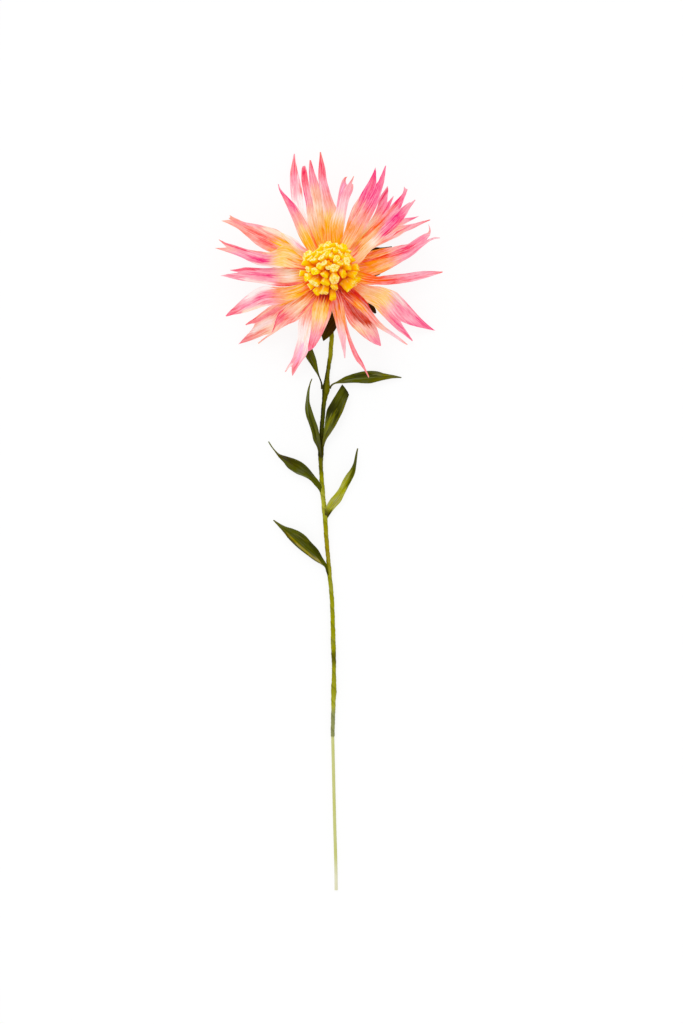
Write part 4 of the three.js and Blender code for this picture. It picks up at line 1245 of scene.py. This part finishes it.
petal(
    22, level=1.7, reach=64, tip=3, painted_light=0.15,
    left=[
        (-7, -10.2), (-15, -17), (-23, -24.4), (-30, -31.6), (-34.6, -37), (-38.6, -38.1), (-42.4, -39.7),
        (-46.4, -41.2), (-50.2, -42.4), (-53.6, -43.4),
    ],
    end=[(-50.2, -39.6), (-47, -36.3), (-44.8, -33.4), (-43.9, -31.2), (-46.4, -31.4), (-49.1, -32.3)],
    right=[
        (-10, -7.2), (-17.6, -12.6), (-25, -17.4), (-30.6, -19.8), (-34.8, -21), (-38, -23.2),
        (-41.4, -25.8), (-44.6, -28.4), (-47.4, -30.2), (-49.5, -31.9),
    ],
    # The dark red at its foot is painted shade under the disc.
    ground={
        13: "shade_scarlet", 16.6: "flame", 18.8: "amber", 27: "amber", 31: "melon", 36: "shell", 42: "shell",
        48: "cream", 53: "shell", 58: "melon", 69: "pink",
    },
    strokes=[
        ("blossom", 0.85, 2, [(-30.6, -22.8), (-36, -26), (-42, -29.2), (-48, -31.8)]),
        ("blush", 0.95, 1.9, [(-34.6, -30), (-38.4, -31.4), (-42, -33.6), (-45, -36)]),
        ("coral", 0.45, 1.1, [(-36.6, -34.8), (-40, -36), (-43, -37)]),
        ("salmon", 0.35, 1, [(-43, -38.4), (-52, -42.6)]),
        ("crimson", 0.5, 0.5, [(-35, -21.8), (-40, -25.2), (-46, -29.6)]),
        ("gold", 0.8, 1.1, [(-18, -13.8), (-25, -18.6), (-28, -20)]),
        ("coral", 0.6, 1, [(-27, -22), (-32, -26)]),
        ("melon", 0.6, 0.9, [(-46, -33.6), (-50, -39)]),
    ],
)
petal(
    23, level=2.5, reach=67, cup=0.1,
    left=[
        (-8, -9.4), (-12, -12.4), (-17, -15.4), (-22.2, -17.8), (-27, -19.4), (-32, -20.4), (-37.4, -21),
        (-42, -22.4), (-47, -24.1), (-51.6, -25.3), (-56.2, -26.1), (-60.8, -27.1),
    ],
    right=[
        (-11.8, -3.6), (-15.4, -7), (-20.4, -9), (-25.8, -9.9), (-31, -9.9), (-36, -9.2), (-40.4, -9.8),
        (-45, -12), (-48.8, -14.9), (-52.6, -18.2), (-56, -21.6), (-59, -24.4), (-61.1, -26.7),
    ],
    ground={
        16: "flame", 20: "gold", 26: "amber", 31: "apricot", 36: "salmon", 41: "pink", 47: "pale_pink",
        55: "powder", 61: "blossom", 66: "rose",
    },
    strokes=[
        ("magenta", 0.55, 2, [(-34.6, -14), (-39, -15.2), (-44, -17.4)]),
        ("blossom", 0.7, 1.3, [(-33.6, -17.8), (-40, -19.4)]),
        ("rose", 0.6, 1.4, [(-44, -19), (-49, -20.6), (-53, -22)]),
        ("white", 0.9, 2.1, [(-35, -9.6), (-41, -11), (-48, -15.6)]),
        ("cream", 0.85, 1.5, [(-38, -21.2), (-44, -22.8), (-51, -24.8)]),
        ("crimson", 0.8, 1.2, [(-56, -23.6), (-58.6, -25.4), (-61.6, -27)]),
        ("flame", 0.7, 1.1, [(-13.6, -11), (-17, -13)]),
        ("salmon", 0.5, 1, [(-20, -10.6), (-26, -11)]),
        ("gold", 0.6, 0.8, [(-15, -8.4), (-20, -10)]),
        ("honey", 0.6, 1, [(-20, -14.6), (-26, -17)]),
    ],
)
petal(
    24, level=1.8, reach=68,
    left=[
        (-10.9, -5.6), (-14.6, -7), (-19.6, -8.7), (-24.4, -9.5), (-29.4, -9.6), (-34.4, -8.9), (-39, -8),
        (-44, -7.3), (-49, -6.6), (-53.6, -5.8), (-58, -4.7), (-61.2, -3.9), (-64.2, -3.3),
    ],
    end=[(-60, -2.4), (-56.4, -1.9), (-53.4, -1.5), (-55.6, -0.9), (-58.3, -0.3)],
    right=[
        (-12.2, 0.6), (-18, 1.6), (-24, 1.8), (-30, 1.8), (-36, 1.2), (-41, 1.2), (-45.4, 1.4),
        (-49.6, 1.6), (-53.2, 0.9), (-55.8, 0.4), (-58.4, 0.1),
    ],
    ground={
        13: "flame", 17: "gold", 20: "peach", 24: "cream", 29: "shell", 34: "pink", 58: "pink",
        63: "powder", 66: "pale_pink",
    },
    strokes=[
        ("magenta", 0.8, 1.3, [(-34, -3.6), (-40, -2.6), (-46, -2)]),
        ("crimson", 0.95, 1.1, [(-43, 0.4), (-49, 0.8), (-55, 0)]),
        ("blush", 0.9, 1.3, [(-34, -8), (-42, -7), (-50, -5.6)]),
        ("coral", 0.95, 1.4, [(-18.4, -7.6), (-25, -8.8), (-31, -8.8)]),
        # This red stroke along its edge by petal 23 is painted shade between the two petals.
        ("red", 0.75, 0.7, [(-15, -8), (-20, -8.8), (-27, -9.6)]),
        ("white", 0.6, 0.8, [(-21, -3.4), (-26, -4)]),
        ("salmon", 0.5, 0.6, [(-18, -0.2), (-23, 0.2)]),
        ("powder", 0.5, 0.8, [(-50, -3), (-57, -2.8)]),
    ],
)
petal(
    25, level=2.5, reach=68,
    left=[
        (-12.2, 1.2), (-17, 0.7), (-22, 0.5), (-27, 0.9), (-32, 1.4), (-37, 2.2), (-41.4, 2.8), (-45, 4.1),
        (-48.6, 5.8), (-52.4, 7.6), (-56.4, 9.2), (-60.4, 10.6), (-64, 11.8), (-67.3, 12.8),
    ],
    end=[(-64, 12.9), (-61.6, 13.1), (-60.4, 13.2), (-62.2, 15), (-64.9, 17.6)],
    right=[
        (-11.2, 5.2), (-15.4, 7.2), (-18.6, 9.4), (-22, 12), (-25.2, 14), (-27.6, 14.4), (-30.2, 12.9),
        (-33.2, 11.1), (-36.6, 10.4), (-40.6, 10.9), (-45, 11.5), (-49, 12.3), (-53, 13.6), (-57, 14.9),
        (-60.6, 15.8), (-62.8, 16.8), (-65.1, 18),
    ],
    ground={
        13: "flame", 16: "orange", 19: "amber", 22: "peach", 27: "honey", 31: "honey", 34: "shell",
        38: "pink", 54: "pink", 60: "melon", 69: "salmon",
    },
    strokes=[
        ("magenta", 0.9, 1.7, [(-37, 5.3), (-41, 6), (-46, 7.5)]),
        ("crimson", 0.9, 1.2, [(-49, 11.8), (-54, 13.2), (-58, 14.8), (-62.6, 16.4)]),
        ("gold", 0.9, 1.2, [(-17, 7.6), (-21, 10.6), (-25.6, 13.2), (-30, 12)]),
        # This red stroke along its edge over petal 24 is painted shade at that edge.
        ("red", 0.9, 0.5, [(-28, 1.3), (-22, 0.9), (-16, 0.9)]),
        ("flame", 0.7, 0.45, [(-24, 6.4), (-20, 3.8), (-16.6, 1.8)]),
        ("blush", 0.8, 0.9, [(-43, 3.4), (-36, 2.2), (-29, 1.5)]),
        ("rose", 0.5, 1.1, [(-45, 7), (-49, 8.6)]),
        ("amber", 0.8, 1.1, [(-27, 12), (-32, 10.4)]),
        ("peach", 0.8, 1, [(-33, 10.6), (-38, 9.8)]),
        ("salmon", 0.7, 1, [(-39, 10.4), (-46, 11.4)]),
        ("lilac", 0.4, 0.9, [(-50, 7.4), (-58, 10.6)]),
    ],
)
petal(
    26, level=1.8, reach=68, painted_light=0.08,
    left=[
        (-11.6, 4), (-18, 7.4), (-25, 9.4), (-31, 10), (-36, 10.9), (-40, 12.9), (-43.6, 15.2), (-47, 18.2),
        (-50.2, 21), (-53.2, 23.6), (-56.4, 25.6), (-59.4, 27.1), (-61.6, 28), (-63.6, 28.8),
    ],
    end=[(-61, 29.2), (-58.2, 29.4), (-59.3, 30.3), (-58.2, 30.9), (-58.8, 32)],
    right=[
        (-9.6, 7.7), (-15.6, 12.2), (-21, 16), (-25, 19), (-28.2, 21.8), (-31.4, 23.8), (-35, 24.9),
        (-39.4, 26), (-44, 27), (-48.4, 27.7), (-51.6, 28.6), (-54.2, 29.9), (-56.6, 31), (-58.5, 32.1),
    ],
    ground={
        13: "honey", 18: "butter_cream", 22: "butter_cream", 26: "honey", 32: "amber", 36: "apricot",
        41: "salmon", 48: "melon", 56: "salmon", 62: "melon", 70: "shell",
    },
    strokes=[
        ("coral", 0.95, 1.7, [(-32, 13.2), (-36, 15.2), (-41, 18)]),
        ("cream", 0.9, 1.9, [(-25, 18.6), (-29, 21), (-33, 22.8), (-38, 24.6)]),
        ("pink", 0.7, 1.1, [(-40, 25.6), (-45, 26.4), (-51, 27.4)]),
        ("coral", 0.7, 1.4, [(-38, 19), (-43, 21.6), (-48, 23.6)]),
        ("cream", 0.4, 0.7, [(-37, 21), (-41, 23)]),
        ("blossom", 0.5, 1, [(-50, 26), (-57, 28.8)]),
        ("yellow", 0.9, 1.1, [(-23.4, 12), (-27, 13), (-31, 16)]),
    ],
)
petal(
    27, level=2.2, reach=37, cup=0.1,
    left=[(-10.9, 5.6), (-17, 10.4), (-22.6, 14.6), (-26.4, 18.4), (-28.8, 21.4)],
    right=[
        (-8.2, 9.2), (-12.4, 11.6), (-15.8, 13.6), (-18.4, 16.6), (-21.6, 18.9), (-25, 20.5), (-28.4, 21.8),
    ],
    ground={18: "shell", 22: "pale_pink", 27: "blush", 31: "cream", 37: "butter_cream"},
    strokes=[
        ("coral", 0.5, 0.5, [(-12.6, 8.9), (-15, 11)]),
        ("white", 0.5, 0.7, [(-22, 18), (-26, 20.4)]),
        ("pink", 0.6, 0.8, [(-16, 12.4), (-20, 15.6)]),
        ("honey", 0.5, 0.7, [(-15, 9.6), (-20, 13), (-25, 17.4)]),
    ],
)


# The sepals: five narrow points of dark crepe glued under the head, between the petals and the stem.
# Each is cut as a pointed blade, pinched into the neck of the core and pressed outwards.
SEPAL_LANES = 40
SEPAL_STEPS = 50
SEPAL_THICKNESS = 0.3
SEPAL_FOOT = 10.3
PALETTE |= {"moss": (100, 98, 8), "bark": (58, 54, 0), "umber": (72, 60, 6), "husk": (54, 34, 0)}
SEPAL_PAPER = crepe_paper("sepal_crepe", streaks=0.5, blotches=1.2, bump=0.6, shine=0.04)


def sepal(number, left, right, tip):
    """One sepal between its two cut edges, from the neck of the core to its point."""
    sheet = cut_sheet(left, right, (), SEPAL_LANES, SEPAL_STEPS)
    across, run = grain_of(sheet)
    along = np.linspace(0, 1, SEPAL_STEPS + 1)[:, None]
    side = np.linspace(-1, 1, SEPAL_LANES + 1)[None]
    height = SEPAL_FOOT + (tip - SEPAL_FOOT) * along + 2 * along * (1 - along)
    # A groove is pressed along its middle, and its edges curl up.
    height = height + ribs(across, run, number, 0.07) - 0.4 * np.exp(-((side * 7) ** 2)) + 0.5 * side**2
    far = np.hypot(sheet[..., 0], sheet[..., 1])
    paint = blended(far, {5: "moss", 18: "bark", 26: "husk", 34: "husk", 42: "umber"})
    fleck = ease(np.sin(across * 5 + number) * np.sin(run * 1.7 + 2 * across) * 1.4 - 0.3)
    paint = stained(paint, "umber", 0.6 * fleck)
    name = f"sepal_{number:02d}_crepe"
    piece = crepe_sheet(name, sheet, height, paint, across, run, number + 40, SEPAL_THICKNESS)
    piece.data.materials.append(SEPAL_PAPER)
    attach(piece, "root")
    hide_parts(f"sepal_{number:02d}")


# They go round the neck from the one that lies along the stem.
sepal(
    1, tip=7.5,
    left=[(2.2, -4.6), (4.6, -12), (5.8, -20), (5.4, -28), (3.5, -34.2), (0.2, -38.4), (-3.6, -41.3)],
    right=[(-2.2, -4.6), (-4, -12), (-5, -20), (-5.3, -28), (-5.5, -34), (-5, -38.2), (-3.9, -41.5)],
)
sepal(
    2, tip=6.2,
    left=[(4.6, -2), (10.4, -5), (16.4, -9.5), (21, -14.8), (24.2, -18.8), (26.6, -22.8), (27, -25.2)],
    right=[(2.2, -4.8), (6, -11), (11, -16), (16, -20.6), (20, -22.8), (24, -24.2), (26.5, -25.5)],
)
sepal(
    3, tip=6.5,
    left=[(3.2, 4), (10, 8.4), (18, 11.6), (24, 13.1), (27, 13.3), (30, 13.2), (33, 13.45), (36.2, 13.8)],
    right=[(4.8, -2), (12, -5), (20, -4.6), (26, -3.6), (29.3, -2.5), (31, 2), (33, 8), (36.3, 13.4)],
)
sepal(
    4, tip=4,
    left=[(-4.6, 2), (-9, 10), (-10.6, 18), (-9.6, 26), (-6.4, 33), (-3.6, 37.6)],
    right=[(3.4, 3.6), (3, 12), (2.6, 20), (0.6, 28), (-1.6, 33.6), (-3.4, 37.7)],
)
sepal(
    5, tip=5,
    left=[(-3.4, -3.6), (-12, -6.4), (-20, -7.4), (-28, -6.6), (-33, -4.6), (-37.6, -2)],
    right=[(-4.6, 2), (-12, 4.6), (-20, 5), (-28, 3), (-33, 0.6), (-37.7, -1.8)],
)


# The stem: the wire wound with stretched green florist's tape in a slanting spiral, lap over lap.
# The tape swells over the foot of each leaf and at its own joins, and darkens where it is doubled.
# Its line is given by places along it, with its radius at each.
STEM_STEPS = 700
STEM_LANES = 28
TAPE_RISE = 8.6
PALETTE |= {
    "sap": (147, 147, 14), "lime": (170, 170, 58), "olive": (80, 84, 10), "shade": (42, 44, 0),
    "ochre": (150, 134, 8), "lichen": (140, 144, 86),
}
STEM_TAPE = crepe_paper("stem_tape", streaks=0.4, blotches=0.35, bump=0.6, shine=0.02)

stem_line = [
    (0, 0, 9.3, 1.8), (0, -0.4, 7.8, 1.8), (0, -2.6, 4.2, 1.8), (0.1, -7, 2.3, 1.8), (0.4, -14, 1.8, 1.75),
    (0.8, -26, 1.7, 1.6), (0.9, -40, 1.5, 1.35), (0.45, -45, 1.5, 1.35), (0.15, -50, 1.5, 1.35),
    (-0.75, -55, 1.5, 1.22), (-1.5, -60, 1.5, 1.25), (-1.9, -64, 1.7, 1.6), (-2.2, -67, 2.2, 2.2),
    (-2.4, -70, 2.4, 2.35), (-3, -73, 1.9, 1.75), (-3.5, -76, 1.5, 1.4), (-3.9, -80, 1.4, 1.35),
    (-4.3, -85, 1.4, 1.32), (-4.7, -90, 1.5, 1.36), (-5.0, -95, 1.6, 1.5), (-5.1, -100, 1.6, 1.5),
    (-5.4, -105, 1.8, 1.7), (-5.4, -108, 1.8, 1.75), (-5.6, -111, 1.5, 1.4), (-5.4, -115, 1.4, 1.25),
    (-5.1, -120, 1.4, 1.28), (-4.8, -125, 1.5, 1.42), (-4.4, -130, 1.6, 1.5), (-3.95, -135, 1.5, 1.32),
    (-3.3, -140, 1.8, 1.65), (-2.9, -145, 1.6, 1.45), (-2.65, -150, 1.5, 1.36), (-2.35, -155, 1.4, 1.34),
    (-1.95, -160, 1.4, 1.34), (-1.5, -165, 1.4, 1.27), (-1.05, -170, 1.4, 1.25), (-0.6, -175, 1.5, 1.4),
    (-0.2, -180, 1.4, 1.28), (0.6, -187, 1.4, 1.3), (1.2, -195, 1.4, 1.3), (1.6, -207, 1.4, 1.32),
    (1.9, -220, 1.6, 1.5), (2.2, -228, 1.5, 1.35), (2.3, -236, 1.3, 1.22), (2.2, -243, 1.6, 1.5),
    (2.2, -247, 1.8, 1.75), (2.0, -252, 1.5, 1.4), (1.9, -258, 1.4, 1.25), (1.6, -267, 1.3, 1.2),
    (1.5, -274, 1.2, 1.15),
]
stem_line = np.array(stem_line)
reached = np.r_[0, np.cumsum(np.linalg.norm(np.diff(stem_line[:, :3], axis=0), axis=1))]
at = np.linspace(0, reached[-1], STEM_STEPS)
stem_route = np.stack([np.interp(at, reached, measure) for measure in stem_line.T], axis=1)
softening = np.array([1, 4, 7, 8, 7, 4, 1]) / 32
padded_line = np.r_[np.repeat(stem_route[:1], 3, 0), stem_route, np.repeat(stem_route[-1:], 3, 0)]
stem_route = np.stack([np.convolve(measure, softening, "valid") for measure in padded_line.T], axis=1)
stem_route = capped(stem_route)
below_head = -stem_route[:, 1]
at = capped(at)[:, None]
lanes = np.arange(STEM_LANES)[None] / STEM_LANES
lap = (at / TAPE_RISE + 0.25 * np.sin(at / 23) + lanes) % 1
stem_radius = stem_route[:, 3][:, None] * 0.95 + 0.16 * (1 - lap) - 0.05
stem_radius = stem_radius + 0.035 * np.sin(2 * math.pi * (lanes * 3 - at / 2.1) + 3 * lap)
stem_radius = stem_radius + 0.03 * np.sin(at * 1.7 + lanes * 12.6)
stem_radius[0] = stem_radius[-1] = 0

stem_ground = {
    20: "moss", 36: "sap", 47: "sap", 56: "moss", 74: "moss", 82: "olive", 92: "olive", 97: "bark",
    108.6: "bark", 109.6: "moss", 116: "moss", 122: "sap", 128: "sap", 133: "lime", 139: "lime", 146: "sap",
    165: "ochre", 180: "sap", 222: "sap", 225: "moss", 229: "moss", 234: "sap", 246: "sap", 256: "lime",
    260: "lichen",
}
stem_paint = blended(below_head, stem_ground)
stem_paint = np.repeat(stem_paint[:, None], STEM_LANES, axis=1)
# The lanes run from the right side over the bottom to the left, which lies in the shade of the leaves.
left_side = ease((-np.cos(lanes * 2 * math.pi) - 0.05) * 1.6)
shaded = left_side * ease((below_head - 50) / 8)[:, None] * ease((112 - below_head) / 6)[:, None]
stem_paint = stained(stem_paint, "shade", 0.85 * shaded)
lap_edge = np.exp(-((lap / 0.07) ** 2)) + np.exp(-(((lap - 1) / 0.05) ** 2))
stem_paint = stem_paint * (1 - 0.32 * lap_edge)[..., None] * (0.9 + 0.2 * lap)[..., None]
stem = rolled_tube("stem_taped", stem_route[:, :3], stem_radius, stem_paint, cut=5)
stem.data.materials.append(STEM_TAPE)
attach(stem, "root")
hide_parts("stem")


# The leaves: seven long blades of dark green crepe with a pressed midrib, each on a short taped stalk.
# Some turn on edge or show their paler back, and yellow dye runs along them in streaks.
LEAF_LANES = 34
LEAF_STEPS = 90
LEAF_THICKNESS = 0.35
PALETTE |= {"sage": (116, 124, 74)}
LEAF_PAPER = crepe_paper("leaf_crepe", streaks=1.4, blotches=1.2, bump=0.8, shine=0.04)


def leaf(number, left, right, heights, roll, ground, strokes, end=(), rounds=0):
    """One leaf: heights are those of its foot, middle and tip, roll turns it about its midrib,
    and ground is its dye at each share of its length."""
    sheet = cut_sheet(left, right, end, LEAF_LANES, LEAF_STEPS, rounds)
    across, run = grain_of(sheet)
    along = np.linspace(0, 1, LEAF_STEPS + 1)[:, None]
    side = np.linspace(-1, 1, LEAF_LANES + 1)[None]
    foot, middle, tip = heights
    height = foot * (1 - along) ** 2 + 2 * middle * along * (1 - along) + tip * along**2
    height = height + across * math.tan(math.radians(roll))
    # The midrib is pressed in, except at the foot and the tip, and the edges wave.
    height = height - 0.35 * np.exp(-((side * 6) ** 2)) * ease(along * 6) * ease((1 - along) * 5)
    height = height + ribs(across, run, number, 0.06) + 0.3 * side**2 * np.sin(run / 4.3 + number)
    height = np.maximum(height, 0.3)
    paint = blended(np.repeat(along, LEAF_LANES + 1, axis=1), ground)
    paint = brushed(paint, bled(sheet, across, number, 1.2), strokes)
    paint = paint * (1 - 0.25 * np.exp(-((side * 9) ** 2)))[..., None]
    name = f"leaf_{number:02d}_crepe"
    piece = crepe_sheet(name, sheet, height, paint, across, run, number + 60, LEAF_THICKNESS)
    piece.data.materials.append(LEAF_PAPER)
    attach(piece, "root")
    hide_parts(f"leaf_{number:02d}")


# They follow one another down the stem from the head.
leaf(
    1, heights=(4, 6.5, 5.5), roll=12,
    left=[
        (-5.2, -69.8), (-5.4, -66), (-6.8, -62.4), (-8.6, -59.4), (-11, -55.6), (-14.1, -51),
        (-16.4, -46.5), (-18, -41), (-18, -36.5), (-17.3, -32.6),
    ],
    right=[
        (-4, -69.4), (-4.7, -66), (-6.1, -62), (-7, -58), (-7.9, -53), (-9, -49.5), (-10.2, -46.4),
        (-12.2, -42), (-14.2, -38), (-16, -34.6), (-16.8, -32.4),
    ],
    ground={0.15: "bark", 0.3: "olive", 0.6: "olive", 1: "moss"},
    strokes=[
        ("moss", 0.7, 0.9, [(-10.5, -53), (-8.4, -57)]),
        ("shade", 0.6, 0.7, [(-12.5, -50.5), (-9.5, -57)]),
    ],
)
leaf(
    2, heights=(2.6, 5.5, 2), roll=-6,
    left=[
        (-0.3, -69), (0.5, -67.3), (2, -66.1), (4, -65.2), (6.2, -63.8), (9.2, -62.2), (12.5, -61),
        (16, -60), (20, -59.2), (24, -59), (28, -59.3), (31.5, -60.4), (35.5, -61.2), (39, -62),
        (41.8, -62.8),
    ],
    right=[
        (0.3, -69.6), (1, -68), (2.4, -66.9), (4.2, -66.4), (8, -66.2), (12, -66), (16, -66), (20, -66.3),
        (24, -66.2), (28, -65.2), (32, -64.2), (36, -63.4), (39, -63.1), (41.8, -63.1),
    ],
    ground={0: "bark", 0.08: "moss", 0.3: "olive", 0.6: "olive", 0.85: "moss", 1: "olive"},
    strokes=[
        ("shade", 0.7, 1, [(13, -62.4), (21, -61), (29, -61.4)]),
        ("moss", 0.7, 0.8, [(24, -65), (31, -63.6), (37, -62.8)]),
        ("sage", 0.5, 0.5, [(8, -64.6), (16, -63.6), (26, -62.8)]),
        ("sap", 0.4, 0.6, [(26, -61), (33, -61.8)]),
    ],
)
leaf(
    3, heights=(2.6, 7, 7.5), roll=50,
    left=[
        (-6.4, -110.4), (-6.7, -107), (-7.6, -103.4), (-9.6, -99.6), (-10.6, -95), (-12.2, -90),
        (-13.8, -85.5), (-14.5, -81), (-14, -76), (-13, -70), (-11.8, -66), (-10.7, -63.6),
    ],
    right=[
        (-5.1, -110), (-5.3, -105), (-5.9, -99), (-7.2, -92), (-9, -87), (-10.8, -81.5), (-11.9, -77.5),
        (-12.1, -73.5), (-12, -70), (-11.3, -66), (-10.4, -63.6),
    ],
    ground={0: "bark", 0.25: "olive", 0.8: "olive", 1: "moss"},
    strokes=[
        ("sage", 0.75, 0.5, [(-13, -83), (-13.3, -77), (-12.4, -70)]),
        ("shade", 0.6, 0.7, [(-8, -98), (-10.4, -90), (-12.6, -83)]),
        ("moss", 0.6, 0.6, [(-7.4, -98), (-8.4, -92)]),
    ],
)
leaf(
    4, heights=(2.9, 8, 5), roll=-14, rounds=150,
    left=[
        (-5, -104), (-4, -98), (-3.4, -93), (-2.8, -88), (-1.8, -82), (0.6, -77.5), (3, -73.5), (5.2, -70),
        (7.2, -66.9),
    ],
    end=[(8.6, -68.6), (10.4, -71.2)],
    right=[
        (-4, -104.4), (-2.3, -99.5), (0.4, -95.5), (3, -91.5), (5.4, -87), (7.6, -82.5), (9.4, -77.5),
        (11.1, -73),
    ],
    ground={0: "bark", 0.12: "moss", 0.35: "olive", 0.6: "shade", 0.85: "olive", 1: "shade"},
    strokes=[
        ("sap", 0.5, 1.7, [(-1.8, -92.4), (-0.6, -89.4), (0.8, -87)]),
        ("sap", 0.4, 1.3, [(0.4, -87.4), (3.2, -83)]),
        ("moss", 0.85, 1.1, [(-1, -97.4), (3, -91), (6, -85), (8.6, -78.6)]),
        ("olive", 0.7, 1.4, [(4, -76), (7.6, -70)]),
        ("shade", 0.55, 1.6, [(-1, -83), (2.6, -77.5)]),
        ("sage", 0.4, 0.6, [(-3.4, -97), (-2.4, -89)]),
    ],
)
leaf(
    5, heights=(2.4, 6.5, 3), roll=16,
    left=[
        (-5.4, -131), (-6.6, -128.5), (-9, -125.8), (-11.6, -123), (-15, -121), (-19, -119.4),
        (-22, -117.6), (-25, -115.4), (-27, -112.6), (-30, -109.5), (-32.4, -106), (-34.6, -103),
        (-36.2, -100.4),
    ],
    right=[
        (-4.4, -128), (-6.2, -124), (-9, -120.5), (-12, -116.6), (-15, -113.6), (-18, -111.6), (-22, -110),
        (-26, -108.8), (-29.5, -107.7), (-31.6, -106), (-33.8, -103.4), (-35.8, -100.2),
    ],
    ground={0.4: "olive", 0.7: "umber", 0.85: "moss", 1: "sage"},
    strokes=[
        ("olive", 0.9, 1.1, [(-9, -124.6), (-15, -119.6), (-22, -116.4), (-28, -110.6)]),
        ("shade", 0.6, 1.2, [(-10, -119.6), (-17, -113.6), (-26, -110)]),
        ("sage", 0.5, 0.6, [(-12, -122), (-20, -118.2)]),
    ],
)
leaf(
    6, heights=(2.6, 7, 6), roll=-36,
    left=[
        (-3, -143), (-2.4, -139), (0, -134.5), (3, -131), (5.4, -127.5), (7.6, -123), (9.8, -119.5),
        (12, -116.6), (13.8, -113), (14.8, -108.5), (15.8, -104.3),
    ],
    right=[
        (-1.4, -145), (1.2, -141.2), (3.4, -138.6), (6.4, -135.2), (8.4, -131), (10.4, -127),
        (12.8, -122.6), (14.6, -118.6), (15.4, -114), (15.9, -109), (16.4, -104.3),
    ],
    ground={0: "umber", 0.06: "moss", 0.12: "lime", 0.5: "lime", 0.62: "sap", 0.75: "olive", 1: "moss"},
    strokes=[
        ("bark", 0.85, 0.9, [(-1.8, -144.4), (0.8, -141)]),
        ("olive", 0.95, 1.1, [(9.6, -127), (12.8, -121), (14.6, -115), (15.6, -108)]),
        ("ochre", 0.5, 0.7, [(2, -137.6), (6, -133.6)]),
        ("sap", 0.8, 0.6, [(9, -122), (11.6, -118)]),
    ],
)
leaf(
    7, heights=(2.6, 6.5, 2.2), roll=10,
    left=[
        (-1.3, -178.8), (-2.2, -176.4), (-2.9, -174), (-5, -172.3), (-9, -170), (-13, -167), (-17, -164),
        (-20.5, -161), (-24, -157.5), (-27.5, -153), (-30.5, -149.5), (-33.2, -146.4),
    ],
    right=[
        (-0.9, -178.4), (-1.3, -175.4), (-1.9, -172.4), (-4.2, -168.5), (-7, -163.5), (-10.5, -159.8),
        (-14, -155.8), (-17.5, -153.2), (-21.5, -151.4), (-26, -150), (-30, -148), (-33, -146.2),
    ],
    ground={0: "bark", 0.12: "olive", 0.8: "olive", 1: "moss"},
    strokes=[
        ("shade", 0.75, 1.6, [(-5, -168), (-10, -161.6), (-17, -156)]),
        ("ochre", 0.95, 0.8, [(-5, -171.4), (-12, -166.4), (-19, -160.4), (-26, -153.6)]),
        ("umber", 0.7, 0.7, [(-21, -159.6), (-27, -152.6)]),
        ("moss", 0.6, 0.6, [(-12, -159.6), (-20, -154.4)]),
        ("shade", 0.7, 0.4, [(-14, -166.4), (-21, -160.8)]),
    ],
)
